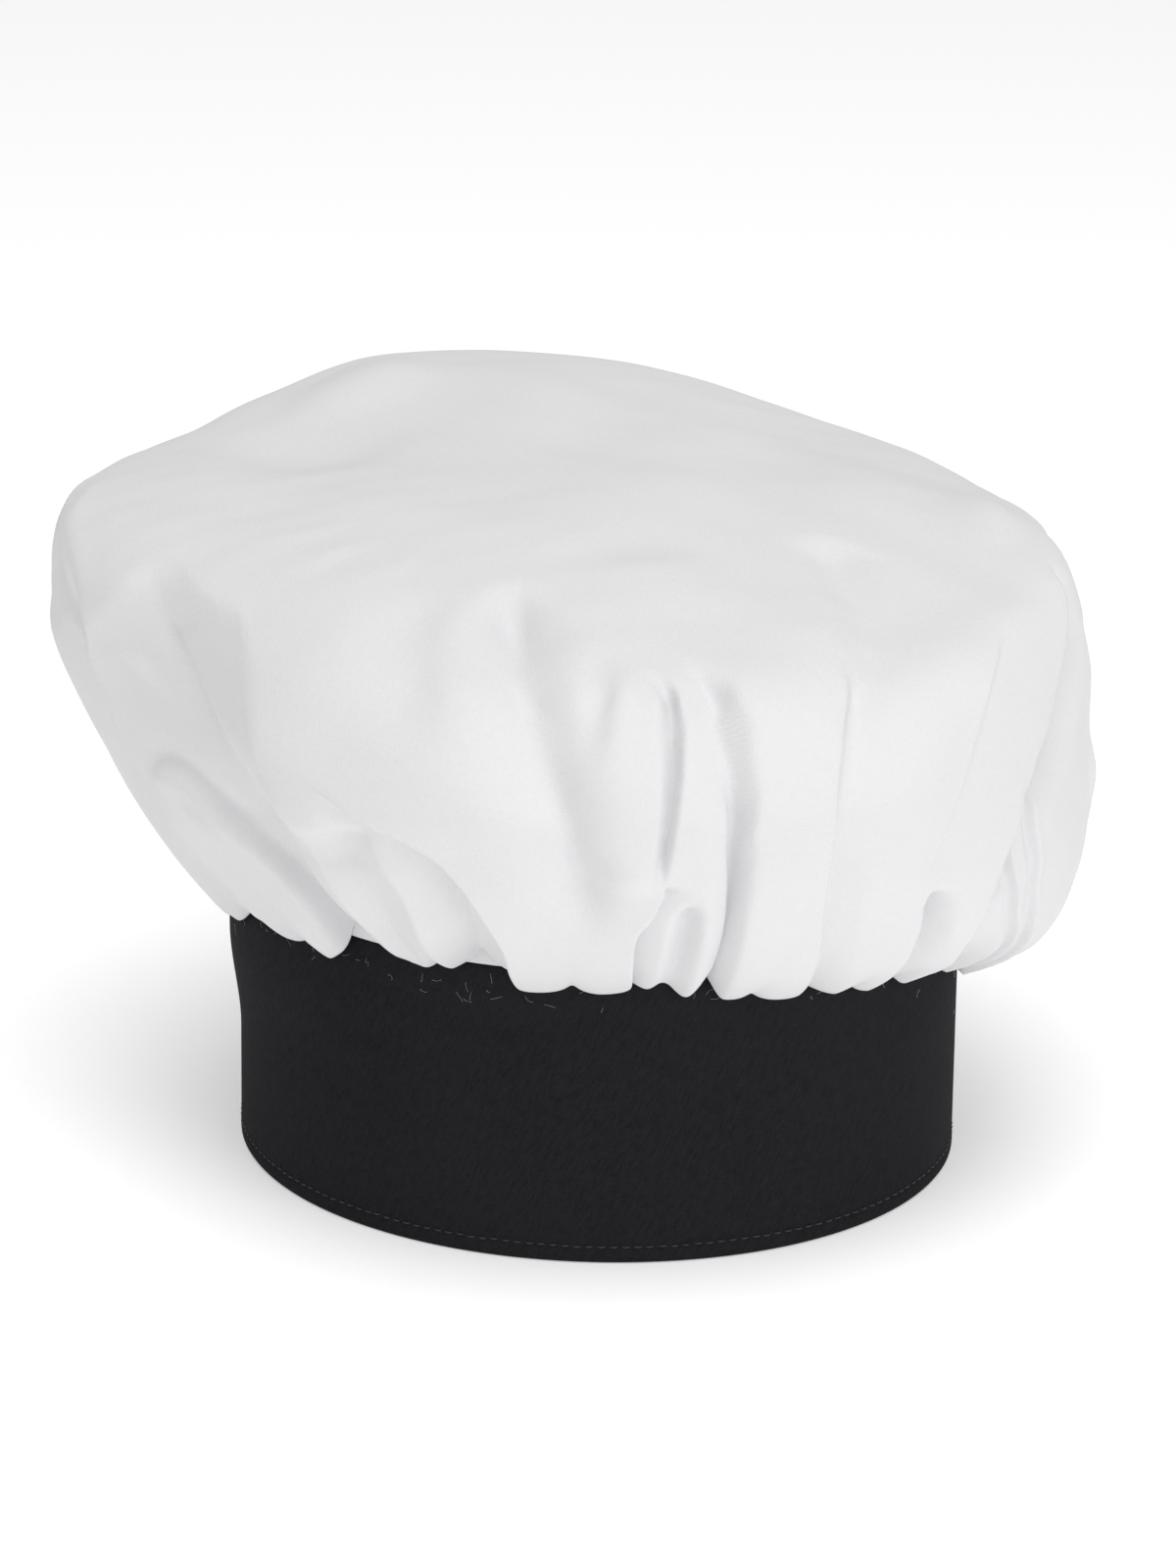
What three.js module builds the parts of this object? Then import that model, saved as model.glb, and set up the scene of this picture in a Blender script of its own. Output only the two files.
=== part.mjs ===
// A chef hat: a floppy crown of white cotton, gathered on to a plain black headband.
// Units are millimetres and +Z is up. The hat stands on the lower edge of its band, and azimuths
// are degrees from +X towards +Y. The front of the hat faces -Y.
import * as THREE from "three";

// Driving dimensions
const bandHeight = 80;
const bandLong = 97; // half the long way across the oval band, outside
const bandShort = 94; // half the short way across
const bandTurn = 155; // azimuth of the oval's long way
const bandWall = 2; // two layers of twill with a stiffener between them
const bandColumns = 88; // vertical facets round the band
const lap = { start: 62, inner: 76, outer: 104, rise: 1.8 }; // the band's ends lie over each other here
const clothWall = 1.6; // the crown's cloth
const clearance = 0.3; // left between the crown and the band
const neckDepth = 12; // how far the crown's seam allowance reaches down inside the band
const hemOut = 4; // how far the gathered hem stands off the band
const topHeight = 185; // the middle of the crown's top
const frontFacets = 4; // facets across each gathered lobe of the hem at the front
const backFacets = 3; // and round the back
const backGathers = 24; // lobes of the hem round the back, between the last listed pinch and the first
const narrowestFold = 8; // half the width of the sharpest fold that the facets can follow
const crestSteps = 6; // pieces of a fold's crest between two of its points
const nominalRadius = 130; // of the crown, and the way from its hem to its middle, for a crest's length
const nominalWay = 225;
const seat = new THREE.Vector3(7.2, -2.9, 0); // from the middle of the crown's outline to the band's axis

// Turns a list of column names and rows of values into rows with named columns.
const table = (columns, rows) =>
  rows.map((row) => Object.fromEntries(columns.split(" ").map((column, i) => [column, row[i]])));

// The smooth crown, every 30 degrees: the heights and radii of the hem, the low belly, the side, the
// widest place, the shoulder and the rim of the flat top.
const sections = table("az hemZ lowR lowZ sideR sideZ wideR wideZ shoulderR shoulderZ rimR rimZ", [
  [0, 52, 121, 62, 131, 92, 129.5, 128, 121.5, 163, 101, 173],
  [30, 60, 122, 74, 134, 100, 134, 134, 122, 163, 98, 173],
  [60, 67, 121, 82, 135, 108, 136, 140, 122, 168, 98, 178],
  [90, 70, 120, 84, 136, 112, 140, 146, 128, 179, 100, 186],
  [120, 70, 120, 84, 137, 112, 145, 148, 139, 180, 112, 187],
  [150, 67, 114, 78, 134, 108, 147, 146, 139, 172, 108, 179],
  [180, 64, 111, 75, 131, 106, 147, 148, 142.5, 173, 112, 180],
  [210, 75, 108, 85, 123.5, 110, 135, 142, 126.5, 168, 99, 179],
  [240, 75, 111, 86, 127, 110, 138, 136, 126, 164, 91, 178],
  [270, 77, 113, 88, 128, 112, 135, 136, 122, 163, 86, 176],
  [300, 72, 114, 84, 129, 110, 134, 134, 123, 160, 90, 172],
  [330, 65, 117, 76, 129, 102, 129.5, 132, 122.5, 160, 100, 169],
]);
// Share of the cloth's way from the hem (0) to the middle of the top (1) at each station of a section.
const stations = [0, 0.085, 0.2, 0.36, 0.5, 0.62, 0.8, 1];

// Folds of the crown. A fold's crest runs from its head to its foot through points of azimuth and share.
// Seen along that way its valley lies to the left (1) or to the right (-1). Depth, wall and wide are at the
// head, and foot, wallFoot and wideFoot at the foot. The fold falls by its depth over its wall, quickest at
// the crest (steep -1) or at the bottom (1). By its wide side it has risen again, evenly (ease 1) or
// quickest at the bottom (2). The crest's lip rises over back, or is a valley where lip is negative. The
// fold fades in over fade, and opens to its full width over opens.
const foldColumns = "name side path depth foot wall wallFoot wide wideFoot steep ease lip back fade opens";
const folds = table(foldColumns, [
  ["farLeft", -1,
    [[170, 0.54], [180, 0.522], [189, 0.487], [194, 0.448], [196, 0.408], [197.5, 0.35], [200, 0.28],
      [203, 0.218], [206.5, 0.166], [209.5, 0.088], [212, -0.03]],
    5.5, 3, 20, 8, 46, 22, -0.4, 1, 1.4, 9, 30, 30],
  ["tongueLeft", 1,
    [[203, 0.232], [207, 0.246], [211.5, 0.243], [216, 0.208], [220.5, 0.17], [223.8, 0.136],
      [226, 0.09], [227.5, -0.03]],
    2, 1.5, 4, 3, 12, 9, -0.2, 1.2, 2.2, 10, 10, 10],
  ["tongueRight", -1,
    [[243.5, 0.3], [244.5, 0.233], [246.5, 0.163], [247, 0.075], [247, -0.03]],
    6, 4, 12, 9, 30, 18, -0.4, 1, 0.8, 5, 10, 10],
  ["arcWall", -1,
    [[237, 0.362], [240.5, 0.35], [244, 0.333], [248, 0.312], [252, 0.275], [254.7, 0.225],
      [256.7, 0.175], [258.7, 0.125], [259, 0.065], [258.7, -0.03]],
    3, 7, 1.4, 13, 34, 28, -0.4, 1, 0.4, 10, 16, 10],
  ["soft", -1,
    [[244, 0.63], [248, 0.58], [251, 0.53], [253.5, 0.46], [255, 0.4]],
    1.8, 1.2, 9, 9, 26, 26, 0, 1, 0.2, 12, 16, 10],
  ["slit", -1,
    [[277.6, 0.535], [278.9, 0.512], [279, 0.463], [278.7, 0.415], [278.1, 0.362], [277.5, 0.292],
      [277, 0.217]],
    7, 5, 1.6, 1.3, 4.4, 3.6, 0, 0.7, 0.4, 5, 9, 9],
  ["slitFoot", 1,
    [[277.3, 0.232], [276.5, 0.208], [275, 0.168], [273.6, 0.138], [273.5, 0.083], [274, -0.03]],
    3.6, 3.2, 1.5, 1.5, 11, 9, -0.3, 1, 0.9, 6, 6, 5],
  ["twin", -1,
    [[284, 0.548], [287.5, 0.515], [288.5, 0.478], [288.8, 0.443], [288.4, 0.403], [287.6, 0.36],
      [287, 0.31], [286.5, 0.26]],
    5, 3, 8, 6, 16, 10, -0.2, 1.3, 0.6, 8, 12, 12],
  ["pinchEdge", 1,
    [[309, 0.59], [304.5, 0.56], [301, 0.527], [297, 0.443], [295.5, 0.383], [295, 0.295],
      [296, 0.182], [298, 0.105], [301, -0.03]],
    1.6, 3.4, 3.2, 2.6, 12, 12, -0.2, 1, 0.5, 8, 16, 14],
  ["edge", 1,
    [[352, 0.54], [347, 0.5], [344.5, 0.48], [340, 0.448], [335.5, 0.415], [332, 0.385], [328.5, 0.352],
      [325, 0.29], [322.5, 0.235], [321.5, 0.173], [322, 0.09], [324.5, 0.045], [325, -0.03]],
    6.5, 4.5, 2.8, 2.5, 22, 20, -0.2, 1, 1, 16, 14, 14],
  ["farRight", 1,
    [[356, 0.46], [351, 0.36], [349, 0.24], [350, -0.03]],
    4, 4, 5, 4, 22, 20, 0, 1, 1, 12, 20, 16],
  ["backA", -1,
    [[16, 0.5], [12, 0.4], [10, 0.26], [9, -0.03]],
    5.5, 4, 10, 5, 28, 18, 0.2, 1, 0.6, 12, 20, 20],
  ["backB", 1,
    [[26, 0.47], [30, 0.38], [31, 0.22], [29, -0.03]],
    6, 4, 5, 3, 24, 16, 0, 1.2, 0.8, 12, 20, 20],
  ["backC", 1,
    [[44, 0.5], [50, 0.42], [53, 0.3], [52, -0.03]],
    7, 5, 7, 4, 30, 18, 0, 1.4, 0.8, 12, 20, 30],
  ["backD", -1,
    [[74, 0.44], [71, 0.34], [70, 0.18], [71, -0.03]],
    5, 4, 4, 3, 18, 12, 0, 1, 1, 9, 16, 16],
  ["backE", 1,
    [[82, 0.5], [86, 0.42], [87, 0.28], [84, -0.03]],
    6.5, 4.5, 7, 3, 26, 16, 0, 1.4, 0.8, 12, 18, 24],
  ["backF", -1,
    [[106, 0.46], [103, 0.36], [101, 0.2], [102, -0.03]],
    6, 4.5, 5, 3, 20, 14, 0, 1, 1, 10, 16, 16],
  ["backG", 1,
    [[112, 0.52], [117, 0.44], [120, 0.32], [119, -0.03]],
    7, 5, 8, 4, 30, 18, 0, 1.4, 0.8, 12, 20, 30],
  ["backH", -1,
    [[142, 0.5], [139, 0.4], [136, 0.24], [137, -0.03]],
    6.5, 4.5, 6, 3, 24, 14, 0.2, 1, 0.8, 10, 18, 20],
  ["backI", 1,
    [[148, 0.46], [152, 0.36], [154, 0.2], [153, -0.03]],
    5, 4, 4, 3, 18, 12, 0, 1, 0.8, 9, 16, 16],
  ["backJ", -1,
    [[172, 0.48], [170, 0.42], [168, 0.28], [168, -0.03]],
    5, 3.5, 10, 5, 28, 16, 0.2, 1, 0.3, 12, 20, 20],
]);

// Valleys. A valley's bottom runs from its head to its foot. From there the cloth rises by the depth over
// the left or right width: evenly (bow 1), quickest at the bottom (2) or at the top (below 1).
const valleyColumns = "name path depth foot left leftFoot right rightFoot leftBow rightBow fade opens";
const valleys = table(valleyColumns, [
  ["deep",
    [[201, 0.535], [203.5, 0.513], [207.5, 0.455], [212, 0.41], [216, 0.37], [219.5, 0.325],
      [222.3, 0.27], [224.5, 0.212], [226.8, 0.158], [229, 0.1], [231.5, -0.03]],
    10.5, 8, 32, 17, 46, 12, 0.85, 1, 24, 34],
  ["centre",
    [[252, 0.655], [257, 0.583], [260.5, 0.517], [262.8, 0.458], [264.5, 0.403], [266, 0.333],
      [267, 0.245], [268.2, 0.18], [269.5, 0.12]],
    10, 8, 22, 13, 22, 20, 2, 2, 14, 26],
  ["pinch",
    [[333, 0.754], [325, 0.726], [318, 0.676], [314.5, 0.626], [310, 0.586], [304.5, 0.54],
      [300.5, 0.482], [299, 0.42], [298, 0.36]],
    4, 4.5, 12, 26, 10, 8, 1.2, 1.4, 12, 14],
]);

// Broad swellings and hollows: place, half length, half width, how far the long way is turned up from
// level, and height.
const dents = table("name az up long short turn height", [
  ["bulge", 273.5, 0.252, 11, 9, 20, 2.2],
  ["pocket", 314.2, 0.105, 21, 8, 78, -4],
  ["backLobe", 352, 0.29, 15, 10, 80, 4],
  ["rightCorner", 4, 0.62, 26, 12, 0, 3],
  ["backCorner", 130, 0.64, 30, 20, 0, 4],
  ["backDip", 156, 0.7, 34, 30, 0, -4],
  ["topHollow", 275, 0.765, 26, 15, 30, -1.5],
]);

// The hem's pinches along the front: azimuth, and height above the section's hem. The cloth between two
// of them hangs as a lobe.
const frontPinches = table("az rise", [
  [192, 0], [201, 0.4], [211, 1.4], [220, 1], [228, 0.8], [235.6, 0], [240, 0.4], [245, 1], [251.5, 1],
  [258, 1.2], [266, 0.8], [274, 2.4], [278.6, 0], [285.6, 0.4], [293, 0.4], [301, 0.4], [310, 1],
  [319, 1.6], [323.6, 1], [331, 0.6], [339, 0.4], [348, 0.6],
]);

const radians = THREE.MathUtils.degToRad;
const smooth = THREE.MathUtils.smoothstep;
const hump = (x) => Math.max(1 - x * x, 0) ** 2; // 1 at 0, and 0 from 1 on
const onCircle = (radius, azimuth, z) =>
  new THREE.Vector3(radius * Math.cos(radians(azimuth)), radius * Math.sin(radians(azimuth)), z);

// A value between p1 and p2 on the Catmull-Rom curve through four values.
function between(p0, p1, p2, p3, t) {
  const linear = (p2 - p0) * t;
  const square = (2 * p0 - 5 * p1 + 4 * p2 - p3) * t * t;
  const cubic = (3 * p1 - p0 - 3 * p2 + p3) * t ** 3;
  return 0.5 * (2 * p1 + linear + square + cubic);
}

// The outside of the oval band, with its lapped end.
function bandRadius(azimuth) {
  const along = bandShort * Math.cos(radians(azimuth - bandTurn));
  const across = bandLong * Math.sin(radians(azimuth - bandTurn));
  const isLapped = azimuth > lap.start && azimuth < lap.outer;
  const rise = isLapped ? lap.rise * smooth(azimuth, lap.start, lap.inner) : 0;
  return (bandLong * bandShort) / Math.hypot(along, across) + rise;
}

// The inside of the band, which steps back in where its inner end begins.
function bandInside(azimuth) {
  return bandRadius(azimuth) - bandWall - (azimuth > lap.inner && azimuth < lap.outer ? lap.rise : 0);
}

// The widest outside and the narrowest inside of the band near an azimuth.
function bandEdges(azimuth) {
  const near = [-4, -2, 0, 2, 4].map((turn) => azimuth + turn);
  return { outside: Math.max(...near.map(bandRadius)), inside: Math.min(...near.map(bandInside)) };
}

// A section of the smooth crown at any azimuth, as the radii and heights of its stations.
function sectionAt(azimuth) {
  const count = sections.length;
  const place = ((azimuth % 360) / 360) * count;
  const first = Math.floor(place);
  const near = [-1, 0, 1, 2].map((step) => sections[(first + step + count) % count]);
  const at = (column) => between(...near.map((row) => row[column]), place - first);
  const hemR = bandRadius(azimuth) + hemOut;
  const [rimR, rimZ] = [at("rimR"), at("rimZ")];
  const radii = [hemR, at("lowR"), at("sideR"), at("wideR"), at("shoulderR"), rimR, rimR * 0.52, 0];
  const innerTop = rimZ * 0.35 + topHeight * 0.65;
  const low = [at("hemZ"), at("lowZ"), at("sideZ"), at("wideZ"), at("shoulderZ")];
  const heights = [...low, rimZ, innerTop, topHeight];
  // One more station past each end lets the curve leave the hem upright and cross the middle level.
  return {
    radii: [hemR - 6, ...radii, -radii.at(-2)],
    heights: [heights[0] + 2, ...heights, heights.at(-2)],
  };
}

// Radius and height of the smooth crown.
function smoothCrown(azimuth, up) {
  const { radii, heights } = sectionAt(azimuth);
  let first = stations.findLastIndex((station) => station <= up);
  first = THREE.MathUtils.clamp(first, 0, stations.length - 2);
  const share = (up - stations[first]) / (stations[first + 1] - stations[first]);
  return [radii, heights].map((values) => between(...values.slice(first, first + 4), share));
}

// Every pinch of the hem: the listed ones, and on round the back at steps that vary in a fixed way.
function allPinches() {
  const [first, last] = [frontPinches[0], frontPinches.at(-1)];
  const gap = first.az + 360 - last.az;
  const width = (i) => 1 + 0.38 * Math.sin(i * 2.4) + 0.25 * Math.sin(i * 5.3);
  const widths = Array.from({ length: backGathers }, (_, i) => width(i));
  const total = widths.reduce((sum, share) => sum + share);
  const pinches = frontPinches.map((pinch) => ({ ...pinch, facets: frontFacets }));
  pinches.at(-1).facets = backFacets;
  widths.slice(0, -1).forEach((share, i) => {
    const az = pinches.at(-1).az + (share / total) * gap;
    pinches.push({ az, rise: 0.9 + 0.9 * Math.sin(i * 3.7), facets: backFacets });
  });
  return [...pinches, { ...first, az: first.az + 360 }];
}
const pinches = allPinches();

// A smooth line through the points of a path, as pieces with the share of its length at both ends.
function crestLine({ path }) {
  const ends = [path[0].map((v, i) => 2 * v - path[1][i]), path.at(-1).map((v, i) => 2 * v - path.at(-2)[i])];
  const all = [ends[0], ...path, ends[1]];
  const line = [];
  for (let k = 0; k + 3 < all.length; k++) {
    for (let step = 0; step < crestSteps; step++) {
      line.push([0, 1].map((i) => between(...all.slice(k, k + 4).map((p) => p[i]), step / crestSteps)));
    }
  }
  line.push(path.at(-1));
  const pieces = line.slice(1).map((to, k) => ({ from: line[k], to }));
  const lengths = pieces.map(({ from, to }) =>
    Math.hypot(radians(to[0] - from[0]) * nominalRadius, (to[1] - from[1]) * nominalWay),
  );
  const length = lengths.reduce((sum, part) => sum + part);
  let before = 0;
  pieces.forEach((piece, k) => {
    piece.start = before / length;
    before += lengths[k];
    piece.end = before / length;
  });
  return { pieces, length };
}
const crests = new Map([...folds, ...valleys].map((row) => [row, crestLine(row)]));

// How far a point lies to the left of a path, and the share along it.
function acrossCrest(pieces, azimuth, up, wideScale, highScale) {
  let best = { distance: Infinity };
  pieces.forEach(({ from, to, start, end }, k) => {
    const x = (THREE.MathUtils.euclideanModulo(from[0] - azimuth + 180, 360) - 180) * wideScale;
    const y = (from[1] - up) * highScale;
    const dx = (to[0] - from[0]) * wideScale;
    const dy = (to[1] - from[1]) * highScale;
    const [low, high] = [k === 0 ? -9 : 0, k === pieces.length - 1 ? 9 : 1];
    const t = THREE.MathUtils.clamp(-(x * dx + y * dy) / (dx * dx + dy * dy), low, high);
    const distance = Math.hypot(x + t * dx, y + t * dy);
    if (distance >= best.distance) return;
    best = { distance, across: Math.sign(dy * x - dx * y) * distance, along: start + t * (end - start) };
  });
  return best;
}

// Where a point lies across a fold or a valley, how far along it is, and how open and strong it is there.
function placeOn(row, azimuth, up, wideScale, highScale) {
  const { pieces, length } = crests.get(row);
  const { across, along } = acrossCrest(pieces, azimuth, up, wideScale, highScale);
  const reachesHem = row.path.at(-1)[1] < 0;
  const fadeOut = reachesHem ? 1 : 1 - smooth(along, 1 - (1.5 * row.fade) / length, 1);
  return {
    across,
    towardsFoot: smooth(along, 0.2, 0.9),
    opened: smooth(along, 0, row.opens / length),
    strength: smooth(along, 0, row.fade / length) * fadeOut,
  };
}

// Height of a fold's cross-section: it falls from the crest towards the valley, and rises again.
function foldHeight(fold, { across, towardsFoot, opened }) {
  const size = (head, foot) => fold[head] + (fold[foot] - fold[head]) * towardsFoot;
  const spread = 0.2 + 0.8 * opened;
  const s = fold.side * across;
  const wall = Math.max(size("wall", "wallFoot") * spread, narrowestFold / 2);
  const wide = Math.max(size("wide", "wideFoot") * spread, 2 * narrowestFold, 1.4 * wall);
  const back = Math.max(fold.back * spread, narrowestFold);
  const t = THREE.MathUtils.clamp(s / wall, 0, 1);
  const down = t + fold.steep * t * (t - 1);
  const risen = THREE.MathUtils.clamp((s - wall) / (wide - wall), 0, 1);
  const raised = s < 0 ? Math.max(1 + s / back, 0) ** 2 : (1 - t) ** 2;
  return fold.lip * opened * raised - size("depth", "foot") * down * (1 - risen) ** fold.ease;
}

// Height of a valley's cross-section.
function valleyHeight(valley, { across, towardsFoot, opened }) {
  const size = (head, foot) => valley[head] + (valley[foot] - valley[head]) * towardsFoot;
  const side = across > 0 ? "left" : "right";
  const width = Math.max(size(side, side + "Foot") * (0.2 + 0.8 * opened), narrowestFold);
  const fallen = Math.max(1 - Math.abs(across) / width, 0) ** valley[side + "Bow"];
  return -size("depth", "foot") * fallen;
}

// How far the folds and valleys push the cloth out.
function foldsAt(azimuth, up, wideScale, highScale) {
  const reaches = ({ path }) => {
    const azimuths = path.map(([az]) => az);
    const [low, high] = [Math.min(...azimuths), Math.max(...azimuths)];
    const turn = Math.abs(THREE.MathUtils.euclideanModulo(azimuth - (low + high) / 2 + 180, 360) - 180);
    return turn < (high - low) / 2 + 25;
  };
  const pushOf = (rows, height) =>
    rows.filter(reaches).reduce((sum, row) => {
      const place = placeOn(row, azimuth, up, wideScale, highScale);
      return sum + place.strength * height(row, place);
    }, 0);
  return pushOf(folds, foldHeight) + pushOf(valleys, valleyHeight);
}

// The middle of each dent, and the level and rising ways along the crown there.
const dentFrames = dents.map(({ az, up, turn }) => {
  const at = (azimuth, share) => {
    const [radius, height] = smoothCrown(azimuth, share);
    return onCircle(radius, azimuth, height);
  };
  const level = at(az + 0.5, up).sub(at(az - 0.5, up)).normalize();
  const rise = at(az, up + 0.01).sub(at(az, up - 0.01));
  rise.addScaledVector(level, -rise.dot(level)).normalize();
  const [cos, sin] = [Math.cos(radians(turn)), Math.sin(radians(turn))];
  const longWay = level.clone().multiplyScalar(cos).addScaledVector(rise, sin);
  const shortWay = rise.clone().multiplyScalar(cos).addScaledVector(level, -sin);
  return { middle: at(az, up), longWay, shortWay };
});

// How far the dents push out the cloth at a point of the smooth crown.
function dentsAt(point) {
  return dents.reduce((sum, dent, i) => {
    const offset = point.clone().sub(dentFrames[i].middle);
    if (offset.length() > 2 * dent.long) return sum;
    const u = offset.dot(dentFrames[i].longWay) / dent.long;
    const v = offset.dot(dentFrames[i].shortWay) / dent.short;
    return sum + dent.height * hump(Math.hypot(u, v));
  }, 0);
}

// How far the lobe between two pinches bulges, and how far its hem is lifted.
function gathersAt(azimuth, up) {
  const turned = THREE.MathUtils.euclideanModulo(azimuth - pinches[0].az, 360) + pinches[0].az;
  const last = THREE.MathUtils.clamp(pinches.findIndex((pinch) => pinch.az > turned), 1, pinches.length - 1);
  const [left, right] = [pinches[last - 1], pinches[last]];
  const share = THREE.MathUtils.clamp((turned - left.az) / (right.az - left.az), 0, 1);
  const chord = radians(right.az - left.az) * bandLong;
  const arch = (4 * share * (1 - share)) ** 0.55;
  const size = 1.1 + 0.05 * chord;
  const rise = left.rise * (1 - share) + right.rise * share;
  return {
    out: (arch - 0.6) * size * Math.exp(-up / (0.02 + 0.0026 * chord)),
    lift: (rise * (1 - arch) - arch * (0.2 + 0.025 * chord)) * (1 - smooth(up, 0, 0.07)),
  };
}

// A point of the crown's outer face. Near the hem it stays clear of the band.
function crownPoint(azimuth, up) {
  const [radius, height] = smoothCrown(azimuth, up);
  const [nextRadius, nextHeight] = smoothCrown(azimuth, up + 0.01);
  const slope = new THREE.Vector2(nextHeight - height, radius - nextRadius);
  const wideScale = radians(1) * Math.max(radius, 20);
  const gather = gathersAt(azimuth, up);
  const folded = foldsAt(azimuth, up, wideScale, slope.length() / 0.01);
  slope.normalize();
  const out = folded + gather.out + dentsAt(onCircle(radius, azimuth, height));
  const z = height + slope.y * out + gather.lift;
  const clear = bandEdges(azimuth).outside + clearance + clothWall + 0.6;
  const nearBand = 1 - smooth(z, bandHeight + 1, bandHeight + 9);
  const r = radius + slope.x * out;
  return onCircle(r + Math.max(clear - r, 0) * nearBand, azimuth, z);
}

// The same point on the cloth's inner face, one wall further in.
function crownInnerPoint(azimuth, up) {
  const point = crownPoint(azimuth, up);
  if (up === 1) return point.setZ(point.z - clothWall);
  const round = crownPoint(azimuth + 1.5, up).sub(crownPoint(azimuth - 1.5, up));
  const rise = crownPoint(azimuth, Math.min(up + 0.012, 1)).sub(crownPoint(azimuth, Math.max(up - 0.012, 0)));
  const outward = round.cross(rise).normalize();
  return point.addScaledVector(outward, -clothWall);
}

// Joins columns of points round the axis, each from the rim to the middle, into triangles.
function addGrid(positions, columns, flip) {
  const push = (a, b, c) => positions.push(...(flip ? [a, c, b] : [a, b, c]).flatMap((p) => p.toArray()));
  columns.forEach((column, i) => {
    const next = columns[(i + 1) % columns.length];
    for (let j = 0; j + 1 < column.length; j++) {
      push(column[j], next[j], next[j + 1]);
      if (column[j + 1].distanceTo(next[j + 1]) > 1e-6) push(column[j], next[j + 1], column[j + 1]);
    }
  });
}

function geometryOf(positions) {
  const geometry = new THREE.BufferGeometry();
  geometry.setAttribute("position", new THREE.Float32BufferAttribute(positions, 3));
  geometry.computeVertexNormals();
  return geometry;
}

// Azimuths of the crown's columns: one at every pinch, and the others spread between them.
const crownAzimuths = pinches.slice(0, -1).flatMap((pinch, i) => {
  const step = (pinches[i + 1].az - pinch.az) / pinch.facets;
  return Array.from({ length: pinch.facets }, (_, k) => (pinch.az + step * k) % 360);
});
const crownShares = [0, 0.03, 0.07, 0.12, 0.18, 0.24, 0.3, 0.36, 0.42, 0.48, 0.54, 0.6, 0.7, 0.84, 1];

// One column of a face of the crown: down inside the band and back, over its top edge and down its
// outside to the hem, and from there to the middle of the top.
function crownColumn(azimuth, gap, pointAt) {
  const band = bandEdges(azimuth);
  const [inside, outside] = [band.inside - gap, band.outside + gap];
  const hem = crownPoint(azimuth, 0).z + 4;
  const top = bandHeight + gap;
  const tuck = [[inside, bandHeight - neckDepth], [inside, top], [outside, top], [outside, hem]];
  return [...tuck.map(([r, z]) => onCircle(r, azimuth, z)), ...crownShares.map((up) => pointAt(azimuth, up))];
}

// The gathered crown: a hollow cloth shell, tucked over the band's top edge and down inside it.
function crownGeometry() {
  const outer = crownAzimuths.map((azimuth) => crownColumn(azimuth, clearance, crownPoint));
  const inner = crownAzimuths.map((azimuth) => crownColumn(azimuth, clearance + clothWall, crownInnerPoint));
  const positions = [];
  addGrid(positions, outer, false);
  addGrid(positions, inner, true);
  addGrid(positions, outer.map((column, i) => [inner[i][0], column[0]]), false);
  return geometryOf(positions);
}

// The headband: an oval ring whose outer end laps over the inner one at the back.
function bandGeometry() {
  const even = Array.from({ length: bandColumns }, (_, i) => (i * 360) / bandColumns);
  const steps = [lap.inner, lap.outer].flatMap((azimuth) => [azimuth - 0.05, azimuth + 0.05]);
  const azimuths = [...even, ...steps].sort((a, b) => a - b);
  const columns = azimuths.map((azimuth) => {
    const outside = bandRadius(azimuth);
    const inside = bandInside(azimuth);
    const corners = [[inside, 0], [outside, 0], [outside, bandHeight], [inside, bandHeight], [inside, 0]];
    return corners.map(([r, z]) => onCircle(r, azimuth, z));
  });
  const positions = [];
  addGrid(positions, columns, false);
  return geometryOf(positions);
}

const whiteCotton = new THREE.MeshStandardMaterial({ color: 0xe6e5e7, roughness: 0.9, metalness: 0 });
const blackTwill = new THREE.MeshStandardMaterial({ color: 0x1c1a1d, roughness: 0.85, metalness: 0 });

const hat = new THREE.Group();
hat.position.copy(seat);

const crown = new THREE.Mesh(crownGeometry(), whiteCotton);
crown.name = "crown";
hat.add(crown);

const band = new THREE.Mesh(bandGeometry(), blackTwill);
band.name = "band";
hat.add(band);

export default hat;
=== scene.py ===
import math

import bpy
import numpy as np
from mathutils import Matrix, Vector


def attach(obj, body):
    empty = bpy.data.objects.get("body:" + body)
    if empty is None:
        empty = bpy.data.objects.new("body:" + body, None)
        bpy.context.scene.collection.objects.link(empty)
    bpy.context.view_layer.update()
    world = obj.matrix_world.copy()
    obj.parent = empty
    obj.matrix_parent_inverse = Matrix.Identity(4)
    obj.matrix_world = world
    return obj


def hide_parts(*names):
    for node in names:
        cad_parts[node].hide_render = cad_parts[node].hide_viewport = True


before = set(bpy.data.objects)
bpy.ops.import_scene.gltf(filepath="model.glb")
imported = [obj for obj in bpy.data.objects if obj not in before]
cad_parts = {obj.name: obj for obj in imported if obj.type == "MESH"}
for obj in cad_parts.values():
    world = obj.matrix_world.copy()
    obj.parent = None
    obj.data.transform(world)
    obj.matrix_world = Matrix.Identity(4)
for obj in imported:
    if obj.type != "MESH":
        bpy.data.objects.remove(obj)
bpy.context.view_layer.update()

# A chef hat: a crown of white cotton gathered on to a black headband. Lengths in the tables are in
# millimetres about the band's axis, and azimuths are degrees from +X towards +Y. The front faces -Y.
MM = 0.001
SEAT = np.array([7.2, -2.9, 0.0])  # from the middle of the crown's outline to the band's axis

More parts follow.
